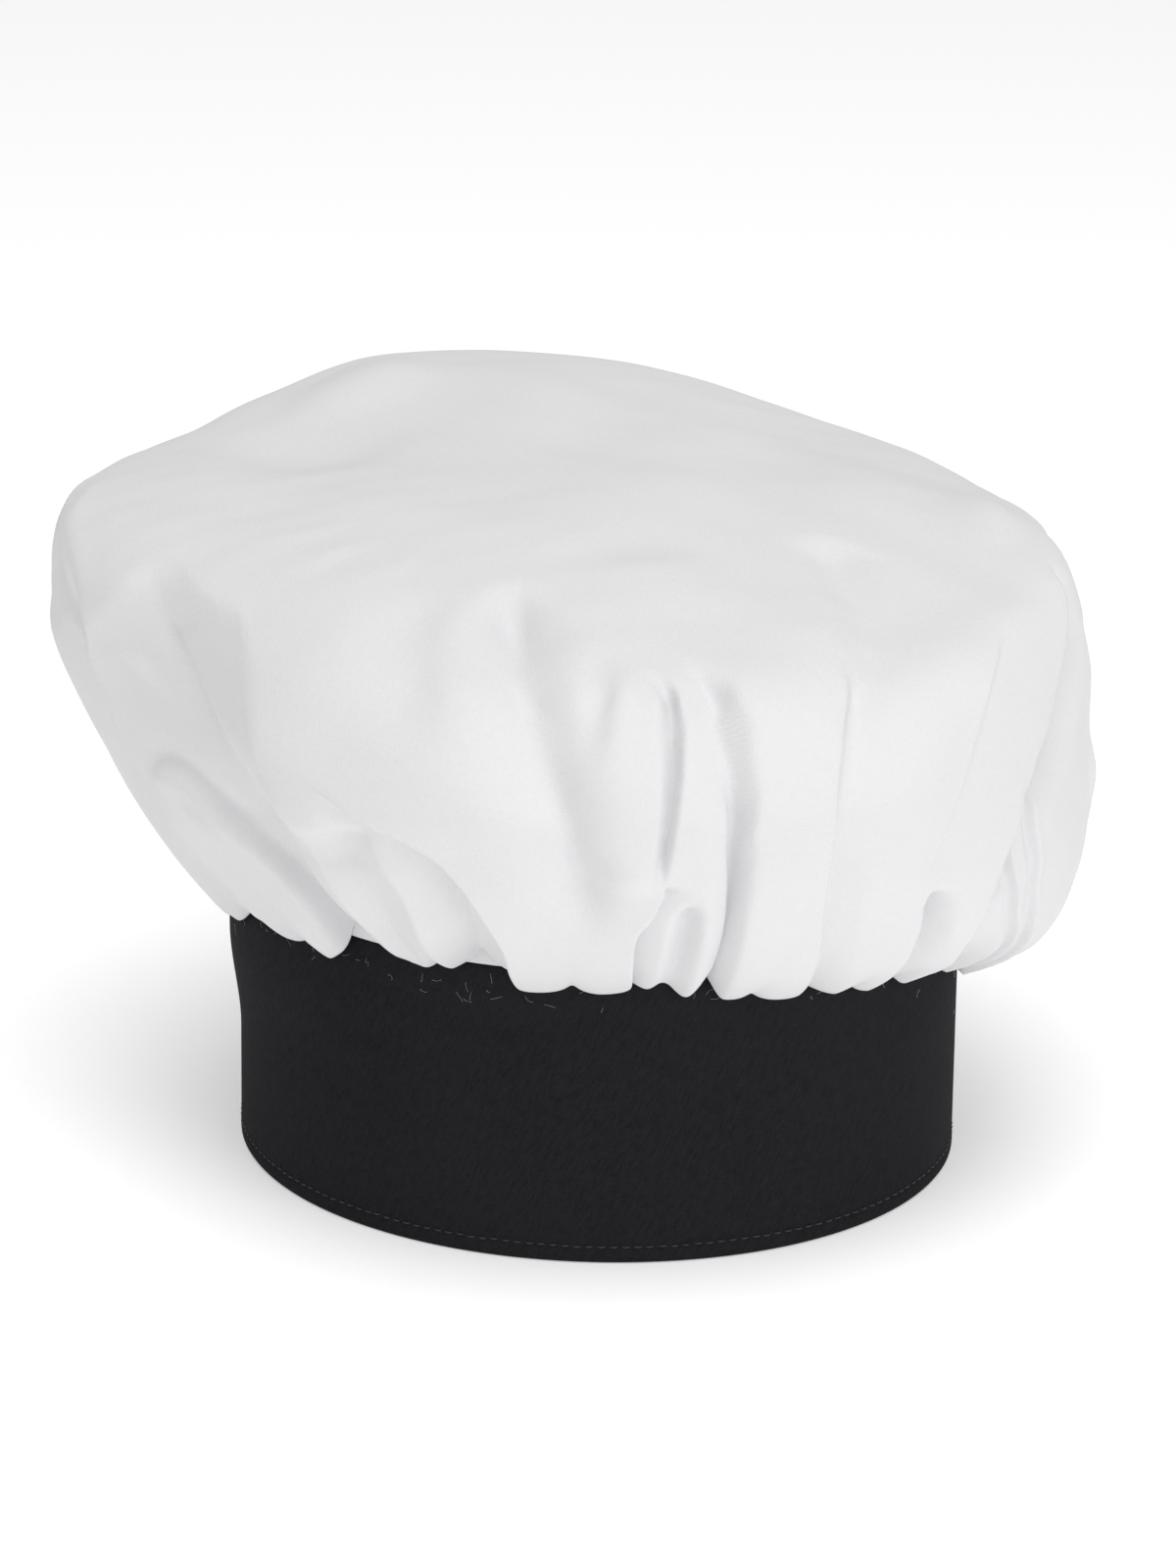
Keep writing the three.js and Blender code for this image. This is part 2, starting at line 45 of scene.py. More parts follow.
BAND_HEIGHT = 80.0
BAND_LONG = 97.0  # half the long way across the oval, outside
BAND_SHORT = 94.0
BAND_TURN = 155.0  # azimuth of the long way
BAND_WALL = 2.0
LAP_START, LAP_INNER, LAP_OUTER, LAP_RISE = 62.0, 76.0, 104.0, 1.8
TOP_HEIGHT = 185.0
HEM_OUT = 3.6  # how far the middle of the hem stands off the band
HEM_CLEAR = 1.3  # least room from the band to the crown's outer face
CLEAR_RUN = 1.0, 9.0  # heights above the band over which that room stops counting
FLARE, FLARE_AT, FLARE_HALF = 3.0, 186.0, 62.0  # how far the band leans out below the hem on one side
FLARE_RUN = 34.0, 5.0, 1.5, -3.0  # how far below the hem it starts, is full, turns back and ends
STITCH_HEIGHT = 4.6  # of the topstitching, above the band's lower edge
STITCHES = 188
STITCH_LENGTH, STITCH_STEP, THREAD = 2.3, 3.2, 0.26
LAP_SEAMS = 1.4, 5.0  # degrees from the lap's end to its two rows of stitches
HAIRS, HAIR, HAIR_LENGTHS = 46, 0.022, (1.2, 3.6)  # bits of lint on the band, their radius and lengths
LINT_AZIMUTHS, LINT_DROP = (190, 350), 3.0  # where they lie, and their mean way below the hem
CLOTH = 0.7  # thickness of the cloth at the seam
INNER_GAP = 2.0  # from the crown's outer face to its inner one, away from the seam
DISC = 500.0  # across the disc that the crown is cut from

# The smooth crown every 30 degrees: heights and radii of the hem, low belly, side, widest place,
# shoulder and rim of the flat top. The columns are:
# az, hemZ, lowR, lowZ, sideR, sideZ, wideR, wideZ, shoulderR, shoulderZ, rimR, rimZ
SECTIONS = [
    [0, 52, 121, 62, 131, 92, 129.5, 128, 121.5, 163, 101, 173],
    [30, 60, 122, 74, 134, 100, 134, 134, 122, 163, 98, 173],
    [60, 67, 121, 82, 135, 108, 136, 140, 122, 168, 98, 178],
    [90, 70, 120, 84, 136, 112, 140, 146, 128, 179, 100, 186],
    [120, 70, 120, 84, 137, 112, 145, 148, 139, 180, 112, 187],
    [150, 67, 114, 78, 134, 108, 147, 146, 139, 172, 108, 179],
    [180, 64, 111, 75, 131, 106, 147, 148, 142.5, 173, 112, 180],
    [210, 75, 108, 85, 123.5, 110, 135, 142, 126.5, 168, 99, 179],
    [240, 75, 111, 86, 127, 110, 138, 136, 126, 164, 91, 178],
    [270, 77, 113, 88, 128, 112, 135, 136, 122, 163, 86, 176],
    [300, 72, 114, 84, 129, 110, 134, 134, 123, 160, 90, 172],
    [330, 65, 117, 76, 129, 102, 129.5, 132, 122.5, 160, 100, 169],
]
# Share of the cloth's way from the hem to the middle of the top at each station of a section.
STATIONS = [0.0, 0.085, 0.2, 0.36, 0.5, 0.62, 0.8, 1.0]

# Folds of the crown. A fold's crest runs from its head to its foot through points of azimuth and
# share. Seen along that way the valley lies to the left (1) or to the right (-1). Depth, wall and wide
# are at the head, and foot, wallFoot and wideFoot at the foot. The fold falls by its depth over its wall,
# quickest at the crest (steep -1) or at the bottom (1). By its wide side it has risen again, evenly
# (ease 1) or quickest at the bottom (2). The crest's lip rises over back and leans by over. The fold
# fades in over fade and opens to its full width over opens, and its edges are rounded by round.
FOLD_COLUMNS = (
    "name side path depth foot wall wallFoot wide wideFoot steep ease lip back over fade opens round"
)
FOLDS = [
    ["far_left", -1,
     [[170, 0.54], [180, 0.522], [189, 0.487], [194, 0.448], [196, 0.408], [197.5, 0.35], [200, 0.28],
      [203, 0.218], [206.5, 0.166], [209.5, 0.088], [212, -0.03]],
     5.5, 3.0, 20, 8, 46, 22, -0.4, 1.0, 1.4, 9, 0.8, 30, 30, 0.5],
    ["far_left_sill", 1, [[186, 0.37], [196, 0.362], [203, 0.365], [210, 0.345]],
     1.6, 1.2, 5, 4, 16, 12, 0.0, 1.0, 0.8, 6, 0.0, 12, 12, 1.2],
    ["tongue_left", 1,
     [[203, 0.232], [207, 0.246], [211.5, 0.243], [216, 0.208], [220.5, 0.17], [223.8, 0.136],
      [226, 0.09], [227.5, -0.03]],
     2.0, 1.5, 4, 3, 12, 9, -0.2, 1.2, 2.2, 10, 1.2, 10, 10, 0.5],
    ["tongue_right", -1, [[243.5, 0.30], [244.5, 0.233], [246.5, 0.163], [247, 0.075], [247, -0.03]],
     6.0, 4.0, 12, 9, 30, 18, -0.4, 1.0, 0.8, 5, 0.5, 10, 10, 0.5],
    ["arc", -1,
     [[238.5, 0.345], [241.5, 0.332], [244, 0.312], [248, 0.29], [252, 0.27], [254.5, 0.225],
      [256.5, 0.175], [258.5, 0.125], [258.8, 0.065], [258.5, -0.03]],
     1.8, 1.4, 2.4, 2.4, 14, 12, -0.3, 1.0, 0.5, 10, 0.8, 10, 8, 0.6],
    ["arc_wall", -1,
     [[237, 0.362], [240.5, 0.35], [244, 0.333], [248, 0.312], [252, 0.275], [254.7, 0.225],
      [256.7, 0.175], [258.7, 0.125], [259, 0.065], [258.7, -0.03]],
     3.0, 9.0, 1.4, 13, 34, 28, -0.4, 1.0, 0.4, 10, 1.2, 16, 10, 0.5],
    ["soft", -1, [[244, 0.63], [248, 0.58], [251, 0.53], [253.5, 0.46], [255, 0.40]],
     1.8, 1.2, 9, 9, 26, 26, 0.0, 1.0, 0.2, 12, 0.0, 16, 10, 2.0],
    ["tongue_flank", -1,
     [[272.3, 0.575], [272.3, 0.545], [272, 0.512], [271.5, 0.48], [271, 0.445], [270.5, 0.40]],
     3.0, 1.5, 4.5, 4.5, 11, 9, 0.0, 1.0, 0.8, 8, 0.0, 10, 10, 1.0],
    ["slit", -1,
     [[277.6, 0.535], [278.9, 0.512], [279, 0.463], [278.7, 0.415], [278.1, 0.362], [277.5, 0.292],
      [277, 0.217]],
     6.0, 4.5, 1.9, 1.4, 5.0, 3.8, 0.0, 0.7, 0.4, 5, 0.5, 9, 9, 0.5],
    ["slit_foot", 1,
     [[277.3, 0.232], [276.5, 0.208], [275, 0.168], [273.6, 0.138], [273.5, 0.083], [274, -0.03]],
     3.6, 3.2, 1.5, 1.5, 11, 9, -0.3, 1.0, 0.9, 6, 2.2, 6, 5, 0.45],
    ["twin_line", 1,
     [[283.2, 0.42], [283.4, 0.362], [283.5, 0.28], [284.5, 0.19], [285, 0.145], [285.4, 0.083],
      [285.4, -0.03]],
     2.4, 3.0, 1.4, 1.4, 6, 5, 0.0, 1.0, 0.5, 5, 1.0, 18, 14, 0.45],
    ["pinch_edge", 1,
     [[309, 0.59], [304.5, 0.56], [301, 0.527], [297, 0.443], [295.5, 0.383], [295, 0.295], [296, 0.182],
      [298, 0.105], [301, -0.03]],
     1.6, 3.4, 3.2, 2.6, 12, 12, -0.2, 1.0, 0.5, 8, 1.2, 16, 14, 0.5],
    ["crease", 1,
     [[338, 0.55], [332.5, 0.533], [327.5, 0.517], [323.5, 0.49], [320, 0.46], [316, 0.40], [313, 0.345],
      [311, 0.27], [310, 0.20], [310.3, 0.15]],
     0.9, 0.9, 0.8, 0.8, 18, 16, 0.0, 1.0, 0.1, 6, 0.3, 16, 10, 0.3],
    ["edge", 1,
     [[352, 0.54], [347, 0.50], [344.5, 0.48], [340, 0.448], [335.5, 0.415], [332, 0.385],
      [328.5, 0.352], [325, 0.29], [322.5, 0.235], [321.5, 0.173], [322, 0.09], [324.5, 0.045],
      [325, -0.03]],
     6.5, 4.5, 2.8, 2.5, 22, 20, -0.2, 1.0, 1.0, 16, 2.2, 14, 14, 0.6],
    ["knot", -1, [[327.8, 0.33], [326, 0.273], [326.5, 0.203], [331, 0.138], [337, 0.08], [339, -0.03]],
     2.6, 2.6, 1.8, 1.8, 5, 5, 0.0, 1.0, 1.0, 3, 0.5, 8, 8, 0.5],
    ["far_knot", -1,
     [[330.5, 0.32], [330.5, 0.238], [333, 0.173], [338, 0.122], [342, 0.077], [344, -0.03]],
     2.6, 2.6, 1.8, 1.8, 6, 6, 0.0, 1.0, 1.0, 4, 0.5, 8, 8, 0.5],
    ["far_right", 1, [[356, 0.46], [351, 0.36], [349, 0.24], [350, -0.03]],
     4.0, 4.0, 5, 4, 22, 20, 0.0, 1.0, 1.0, 12, 0.8, 20, 16, 1.0],
    ["top_a", -1, [[222.5, 0.573], [221, 0.618], [220, 0.67], [221.5, 0.71], [223, 0.75]],
     0.5, 0.4, 2.6, 2.6, 12, 12, 0.0, 1.0, 0.2, 8, 0.0, 16, 12, 1.5],
    ["top_b", -1, [[207, 0.61], [210, 0.657], [209, 0.703], [202.5, 0.758]],
     0.5, 0.4, 3, 3, 14, 14, 0.0, 1.0, 0.15, 8, 0.0, 14, 10, 1.5],
    ["top_c", -1, [[230, 0.60], [232, 0.655], [231, 0.70], [230, 0.745]],
     0.5, 0.4, 3, 3, 14, 14, 0.0, 1.0, 0.15, 8, 0.0, 14, 10, 1.5],
    ["back_a", -1, [[16, 0.50], [12, 0.40], [10, 0.26], [9, -0.03]],
     5.5, 4.0, 10, 5, 28, 18, 0.2, 1.0, 0.6, 12, 0.8, 20, 20, 1.0],
    ["back_b", 1, [[26, 0.47], [30, 0.38], [31, 0.22], [29, -0.03]],
     6.0, 4.0, 5, 3, 24, 16, 0.0, 1.2, 0.8, 12, 1.2, 20, 20, 1.0],
    ["back_c", 1, [[44, 0.50], [50, 0.42], [53, 0.30], [52, -0.03]],
     7.0, 5.0, 7, 4, 30, 18, 0.0, 1.4, 0.8, 12, 1.0, 20, 30, 1.2],
    ["back_d", -1, [[74, 0.44], [71, 0.34], [70, 0.18], [71, -0.03]],
     5.0, 4.0, 4, 3, 18, 12, 0.0, 1.0, 1.0, 9, 1.2, 16, 16, 0.8],
    ["back_e", 1, [[82, 0.50], [86, 0.42], [87, 0.28], [84, -0.03]],
     6.5, 4.5, 7, 3, 26, 16, 0.0, 1.4, 0.8, 12, 0.8, 18, 24, 1.0],
    ["back_f", -1, [[106, 0.46], [103, 0.36], [101, 0.20], [102, -0.03]],
     6.0, 4.5, 5, 3, 20, 14, 0.0, 1.0, 1.0, 10, 1.4, 16, 16, 0.8],
    ["back_g", 1, [[112, 0.52], [117, 0.44], [120, 0.32], [119, -0.03]],
     7.0, 5.0, 8, 4, 30, 18, 0.0, 1.4, 0.8, 12, 1.0, 20, 30, 1.2],
    ["back_h", -1, [[142, 0.50], [139, 0.40], [136, 0.24], [137, -0.03]],
     6.5, 4.5, 6, 3, 24, 14, 0.2, 1.0, 0.8, 10, 1.2, 18, 20, 0.9],
    ["back_i", 1, [[148, 0.46], [152, 0.36], [154, 0.20], [153, -0.03]],
     5.0, 4.0, 4, 3, 18, 12, 0.0, 1.0, 0.8, 9, 1.2, 16, 16, 0.8],
    ["back_j", -1, [[172, 0.48], [170, 0.42], [168, 0.28], [168, -0.03]],
     5.0, 3.5, 10, 5, 28, 16, 0.2, 1.0, 0.3, 12, 0.5, 20, 20, 1.0],
]
# Valleys of the crown. A valley's bottom runs from its head to its foot. Depth, left and right are its
# depth and the widths of its sides at the head, and foot, leftFoot and rightFoot at the foot. Its sides
# are straight (bow 1) or bowed up towards their edges (2). The other sizes are those of a fold.
VALLEY_COLUMNS = "name path depth foot left leftFoot right rightFoot leftBow rightBow fade opens round"
VALLEYS = [
    ["deep",
     [[201, 0.535], [203.5, 0.513], [207.5, 0.455], [212, 0.41], [216, 0.37], [219.5, 0.325],
      [222.3, 0.27], [224.5, 0.212], [226.8, 0.158], [229, 0.10], [231.5, -0.03]],
     12.0, 12.0, 32, 17, 46, 10, 0.85, 1.0, 24, 34, 0.45],
    ["centre",
     [[252, 0.655], [257, 0.583], [260.5, 0.517], [262.8, 0.458], [264.5, 0.403], [266, 0.333],
      [267, 0.245], [268.2, 0.18], [269.5, 0.12]],
     10.0, 8.0, 22, 13, 22, 20, 2.0, 2.0, 14, 26, 1.8],
    ["pinch",
     [[333, 0.754], [325, 0.726], [318, 0.676], [314.5, 0.626], [310, 0.586], [304.5, 0.54],
      [300.5, 0.482], [299, 0.42], [298, 0.36]],
     4.2, 4.5, 11, 26, 12, 8, 1.2, 1.4, 14, 14, 1.8],
    ["twin",
     [[283.2, 0.556], [283.8, 0.515], [284.2, 0.465], [284.6, 0.42], [285, 0.37], [285.2, 0.30],
      [285.2, 0.20], [285.5, -0.03]],
     6.5, 5.0, 3.5, 4, 11, 3.5, 1.0, 1.0, 10, 12, 0.7],
    ["dimple", [[280.4, 0.19], [280.4, 0.15], [280.3, 0.10], [280, -0.03]],
     7.0, 4.0, 4.5, 4.5, 4.5, 4.5, 1.2, 1.2, 5, 7, 0.7],
    ["pocket", [[311.5, 0.178], [313, 0.15], [314.5, 0.10], [316, -0.03]],
     10.0, 5.0, 8, 7, 1.8, 1.8, 1.3, 1.0, 3.5, 4, 0.4],
]
# Ridges and hollows that don't run down to the hem: place, half length, half width, how far the long
# way is turned up from level, and height.
DENTS = [
    ["bulge", 273.5, 0.252, 11, 9, 20, 2.2],
    ["inner_tongue", 286.0, 0.325, 13, 2.4, 84, 1.6],
    ["knot_hollow", 324.8, 0.165, 9, 3, 70, -3.5],
    ["back_lobe", 352, 0.29, 15, 10, 80, 4.0],
    ["right_corner", 4, 0.62, 26, 12, 0, 3.0],
    ["back_corner", 130, 0.64, 30, 20, 0, 4.0],
    ["back_dip", 156, 0.70, 34, 30, 0, -4.0],
    ["top_hollow", 275, 0.765, 26, 15, 30, -1.5],
]
# The hem's pinches along the front: azimuth, and height above the section's hem. The cloth between
# two of them hangs as a lobe.
FRONT_PINCHES = [
    [192, 0.0], [201, 0.4], [211, 1.4], [220, 1.0], [228, 0.8], [235.6, 0.0], [240, 0.4], [245, 1.0],
    [251.5, 1.0], [258, 1.2], [266, 0.8], [274, 2.4], [278.6, 0.0], [285.6, 0.4], [293, 0.4], [301, 0.4],
    [310, 1.0], [319, 1.6], [323.6, 1.0], [331, 0.6], [339, 0.4], [348, 0.6],
]
BACK_LOBES = 24
LOBE_SIZE, LOBE_GROWTH = 1.1, 0.05  # a lobe's bulge, and how much that grows with its width
LOBE_ROUND = 0.55  # power of a lobe's arch: lower is flatter in the middle
LOBE_LEVEL = 0.6  # the part of the arch that lies inside of the smooth crown
LOBE_FADE, LOBE_FADE_GROWTH = 0.02, 0.0026  # share over which a lobe fades, and its growth with width
LOBE_SAG, LOBE_SAG_GROWTH = 0.2, 0.025  # how far a lobe hangs down, and its growth with width
HEM_LIFT_SHARE = 0.07  # share over which the pinches' rises end

# Soft dents of the band: azimuth, height, half width in degrees, half height, and depth outward
BAND_DENTS = [
    [256, 64, 13, 5, -0.5],
    [268, 60, 16, 4, 0.35],
    [247, 58, 12, 5, 0.3],
    [284, 66, 12, 5, -0.45],
    [232, 56, 14, 7, -0.5],
    [300, 52, 20, 12, -0.4],
    [215, 40, 26, 18, -0.5],
    [330, 48, 24, 14, 0.4],
    [20, 40, 34, 20, -0.6],
    [128, 46, 30, 18, -0.6],
]
BAND_LENGTH = 600.0  # round the outside of the band
BAND_EDGE = 0.8  # radius of the band's folded edges
SEAM_RISE, SEAM_GROOVE = 0.12, 0.3  # of the edge below the topstitching, and of the groove under it
LAP_END = 0.3  # half the turn, in degrees, over which the lap's end steps down

# Widths and lengths of the streaks that the threads show as, and the angle of the twill line
WARP, WEFT, TWILL, TWILL_TURN = (0.4, 3.0), (0.45, 2.5), (0.7, 4.5), math.radians(62)

# Lengths and heights of the waves of the crown's gentle rumple
RUMPLE = [(70, 0.45), (52, 0.4), (38, 0.32), (27, 0.22), (19, 0.13), (13, 0.07)]
WAVES_EACH = 3
WAVES_SUM = 1.7  # about how many times a single wave's height they reach together

OUTER_COLUMNS = 680
HEM_ROWS, SIDE_ROWS, TOP_ROWS = 13, 80, 32
HEM_SHARE, SHOULDER_SHARE, LAST_SHARE = 0.06, 0.62, 0.985  # where these three runs of rows end
INNER_STEP = 4  # outer columns to one inner column
INNER_ROW_STEP = 3  # outer rows to one inner row
PLAIN_DENSITY, FRONT_DENSITY, CREST_DENSITY = 0.7, 1.1, 8  # of columns: anywhere, more in front, on crests
ROW_BLENDS = 20  # passes that keep the columns from shifting suddenly between two rows
TUCK_POINTS = 5  # points of a column of the crown before its hem
TUCK_GAP = 0.35  # from the band to the cloth that is tucked over it
TUCK_DEPTH = 12.0  # of the tuck below the band's top edge
TUCK_SHARE = 0.012  # share of the cloth's way from one of these points to the next, for the weave
HEM_START = 6.0, 2.0  # how far inside and above the hem the smooth section begins
ROLL_TOP, ROLL_FOOT, ROLL_OUT = 7.0, 2.2, 0.6  # the hem's roll: its heights above the hem, and its bulge
TOP_MIDWAY, TOP_BOW = 0.52, 0.65  # a point between the top's middle and rim: shares of their rise

SLOPE_STEP = 0.004  # share to either side of a point that gives the crown's slope there
LEAST_RADIUS = 20.0  # for the crown's scale round its axis, close to the middle of the top
CREST_STEPS = 8  # pieces of a crest's line between two of its points
NOMINAL_RADIUS, NOMINAL_WAY = 130.0, 225.0  # for the length of a crest's line
END_REACH = 9  # how far a crest's first and last pieces carry on, in their own lengths
HEAD_OPEN = 0.2  # share of a fold's full width at its head
FADE_OUT = 1.5  # a fold that ends above the hem fades out this many times as slowly as it fades in
FOOT_BLEND = 0.2, 0.9  # the stretch of a crest over which its sizes change
FOLD_REACH = 25.0, 0.2  # azimuth and share beyond its crest that a fold can reach
LEAST_WIDE = 1.4  # least way across a fold, in widths of its wall
LEAN_PAST = 0.5  # how far the bottom of a wall leans the other way, against the lean of its crest
DENT_PLANE = 0.5, 0.01  # azimuth and share to either side of a dent that give its tangent plane
DENT_REACH = 2.0  # in half lengths of the dent
ROUNDING = [-1.5, -0.75, 0, 0.75, 1.5]

# Camera, fitted to the outline of the band and the crown, and lights. Their places are in metres.
TILT, ROLL = math.radians(18.9), math.radians(0.8)
DISTANCE = 1.746
AIM = Vector((0.0037, -0.0029, 0.0986))
LENS, SENSOR = 150, 36
FLOOR_HALF = 6.0
FLOOR_GLOW = 0.30  # lifts the floor to the photo's white
SKY_LIGHT = 0.47
KEY_PLACE, KEY_SIZE, KEY_POWER = (1.374, -1.759, 0.656), 1.4, 12.5
OVERHEAD_PLACE, OVERHEAD_SIZE, OVERHEAD_POWER = (0, -0.6, 2.32), 1.6, 26


def smooth(low, high, x):
    """A smooth step from 0 at the low end to 1 at the high end."""
    t = np.clip((x - low) / (high - low), 0, 1)
    return t * t * (3 - 2 * t)


def hump(x):
    """A smooth bump: 1 at 0, and 0 from 1 and -1 on."""
    return np.clip(1 - x * x, 0, 1) ** 2


def between(p0, p1, p2, p3, t):
    """The Catmull-Rom curve through four values, between the middle two."""
    square = 2 * p0 - 5 * p1 + 4 * p2 - p3
    cubic = 3 * p1 - p0 - 3 * p2 + p3
    return 0.5 * (2 * p1 + (p2 - p0) * t + square * t**2 + cubic * t**3)


def band_radius(az):
    """Radius of the band's oval, outside and without its lap."""
    along = BAND_SHORT * np.cos(np.radians(az - BAND_TURN))
    across = BAND_LONG * np.sin(np.radians(az - BAND_TURN))
    return BAND_LONG * BAND_SHORT / np.hypot(along, across)


def before_lap_end(az):
    """1 up to the azimuth where the band's outer end stops, and 0 past it."""
    return 1 - smooth(LAP_OUTER - LAP_END, LAP_OUTER + LAP_END, az)


def lap_rise(az):
    """How far the band's outer end stands out where it lies over the inner one."""
    return LAP_RISE * smooth(LAP_START, LAP_INNER, az) * before_lap_end(az)


def lapped_radius(az):
    """Radius that clears the band, its lap included."""
    return band_radius(az) + LAP_RISE * ((az > LAP_START) & (az < LAP_OUTER + 4))


def polar(radius, az, z):
    """Points at a radius, azimuth and height, in millimetres about the band's axis."""
    a = np.radians(az)
    return np.stack(np.broadcast_arrays(radius * np.cos(a), radius * np.sin(a), z), -1)


def smooth_crown(az, up):
    """Radius and height of the crown without its folds, for grids of azimuths and shares."""
    rows = np.array(SECTIONS, float)[:, 1:]
    count = len(rows)
    place = (az % 360) / 360 * count
    first = np.floor(place).astype(int)
    near = [rows[(first + step) % count] for step in (-1, 0, 1, 2)]
    values = between(*near, (place - first)[..., None])
    hem_z, low_r, low_z, side_r, side_z, wide_r, wide_z = np.moveaxis(values, -1, 0)[:7]
    shoulder_r, shoulder_z, rim_r, rim_z = np.moveaxis(values, -1, 0)[7:]
    hem_r = band_radius(az) + HEM_OUT
    top = np.full_like(rim_z, TOP_HEIGHT)
    midway_r = rim_r * TOP_MIDWAY
    midway_z = rim_z * (1 - TOP_BOW) + top * TOP_BOW
    start_r, start_z = hem_r - HEM_START[0], hem_z + HEM_START[1]
    radii = [start_r, hem_r, low_r, side_r, wide_r, shoulder_r, rim_r, midway_r, rim_r * 0, -midway_r]
    heights = [start_z, hem_z, low_z, side_z, wide_z, shoulder_z, rim_z, midway_z, top, midway_z]
    stations = np.array(STATIONS)
    k = np.clip(np.searchsorted(stations, up, side="right") - 1, 0, len(stations) - 2)
    share = (up - stations[k]) / (stations[k + 1] - stations[k])

    def along(stops):
        stops = np.stack(stops, -1)
        picked = [np.take_along_axis(stops, (k + step)[..., None], -1)[..., 0] for step in range(4)]
        return between(*picked, share)

    return along(radii), along(heights)


def crest_line(path):
    """A smooth line through the points of a path, the share of its length at each point, and its length."""
    points = np.array(path, float)
    points = np.concatenate([[2 * points[0] - points[1]], points, [2 * points[-1] - points[-2]]])
    steps = np.arange(CREST_STEPS)[:, None] / CREST_STEPS
    line = [between(*points[k : k + 4], steps) for k in range(len(points) - 3)]
    line = np.concatenate(line + [points[-2:-1]])
    scale = np.array([math.radians(NOMINAL_RADIUS), NOMINAL_WAY])
    lengths = np.linalg.norm(np.diff(line, axis=0) * scale, axis=1)
    return line, np.concatenate([[0], np.cumsum(lengths)]) / lengths.sum(), lengths.sum()


def across_crest(path, az, up, wide_scale, high_scale):
    """How far each point lies to the left of a crest, the share along it, and the way across it."""
    line, shares, length_of_all = crest_line(path)
    best = np.full(az.shape, np.inf)
    across, along, level, rise = (np.zeros(az.shape) for _ in range(4))
    last = len(line) - 2
    for k in range(last + 1):
        ax = ((line[k, 0] - az + 180) % 360 - 180) * wide_scale
        ay = (line[k, 1] - up) * high_scale
        dx = (line[k + 1, 0] - line[k, 0]) * wide_scale
        dy = (line[k + 1, 1] - line[k, 1]) * high_scale
        length = np.hypot(dx, dy)
        t = -(ax * dx + ay * dy) / length**2
        t = np.clip(t, -END_REACH if k == 0 else 0, END_REACH if k == last else 1)
        distance = np.hypot(ax + t * dx, ay + t * dy)
        closer = distance < best
        side = np.sign(dy * ax - dx * ay)
        best = np.where(closer, distance, best)
        across = np.where(closer, side * distance, across)
        along = np.where(closer, shares[k] + t * (shares[k + 1] - shares[k]), along)
        level = np.where(closer, -dy / length, level)
        rise = np.where(closer, dx / length, rise)
    return across, along, level, rise, length_of_all


def fold_strength(fold, along, length):
    """How strong a fold is at a share along its crest, how open, and the share of its full width."""
    strength = smooth(0, fold["fade"] / length, along)
    opened = smooth(0, fold["opens"] / length, along)
    if fold["path"][-1][1] >= 0:
        strength = strength * (1 - smooth(1 - FADE_OUT * fold["fade"] / length, 1, along))
    return strength, opened, HEAD_OPEN + (1 - HEAD_OPEN) * opened


def towards_foot(fold, first, last, along):
    """A size of a fold that changes evenly from its head's value to its foot's."""
    return fold[first] + (fold[last] - fold[first]) * smooth(*FOOT_BLEND, along)


def fold_profile(fold, s, depth, wall, wide, back, lip):
    """Height and lean of a fold's cross-section at a distance s from its crest, towards the valley."""
    wide = np.maximum(wide, wall * LEAST_WIDE)
    t = np.clip(s / wall, 0, 1)
    down = t + fold["steep"] * t * (t - 1)
    risen = np.clip((s - wall) / (wide - wall), 0, 1)
    raised = np.where(s < 0, np.clip(1 + s / back, 0, 1) ** 2, (1 - t) ** 2)
    lean = np.where(s < 0, hump(s / back), 1 - (1 + LEAN_PAST) * t)
    lean = np.where(s > wall, -LEAN_PAST * hump((s - wall) / wall), lean)
    return lip * raised - depth * down * (1 - risen) ** fold["ease"], fold["over"] * lean


def valley_profile(valley, s, depth, left, right):
    """Height of a valley's cross-section at a distance s to the left of its bottom."""
    left_side = np.clip(1 - s / left, 0, 1) ** valley["leftBow"]
    right_side = np.clip(1 + s / right, 0, 1) ** valley["rightBow"]
    return -depth * np.where(s > 0, left_side, right_side)


def named_rows(columns, table):
    """The rows of a table, each with its values under the names of its columns."""
    return [dict(zip(columns.split(), values)) for values in table]


def near_path(fold, az, up):
    """Places of the grid that a fold can reach."""
    path = np.array(fold["path"], float)
    middle = (path[:, 0].min() + path[:, 0].max()) / 2
    half = (path[:, 0].max() - path[:, 0].min()) / 2 + FOLD_REACH[0]
    turn = np.abs((az - middle + 180) % 360 - 180)
    below = up < path[:, 1].max() + FOLD_REACH[1]
    above = up > path[:, 1].min() - FOLD_REACH[1]
    return np.nonzero((turn < half) & below & above)


def add_folds(az, up, wide_scale, high_scale, out, level_push, rise_push):
    """Adds the folds' push outward, round the crown and up it, in millimetres."""
    for fold in named_rows(FOLD_COLUMNS, FOLDS):
        here = near_path(fold, az, up)
        across, along, level, rise, length = across_crest(
            fold["path"], az[here], up[here], wide_scale[here], high_scale[here]
        )
        strength, opened, spread = fold_strength(fold, along, length)
        depth = towards_foot(fold, "depth", "foot", along)
        wall = towards_foot(fold, "wall", "wallFoot", along) * spread
        wide = towards_foot(fold, "wide", "wideFoot", along)
        back = fold["back"] * spread
        # The edges are rounded by taking the mean of the section over a short stretch.
        for step in ROUNDING:
            s = fold["side"] * across + step * fold["round"]
            height, lean = fold_profile(fold, s, depth, wall, wide, back, fold["lip"] * opened)
            out[here] += strength * height / len(ROUNDING)
            push = strength * opened * fold["side"] * lean / len(ROUNDING)
            level_push[here] += push * level
            rise_push[here] += push * rise


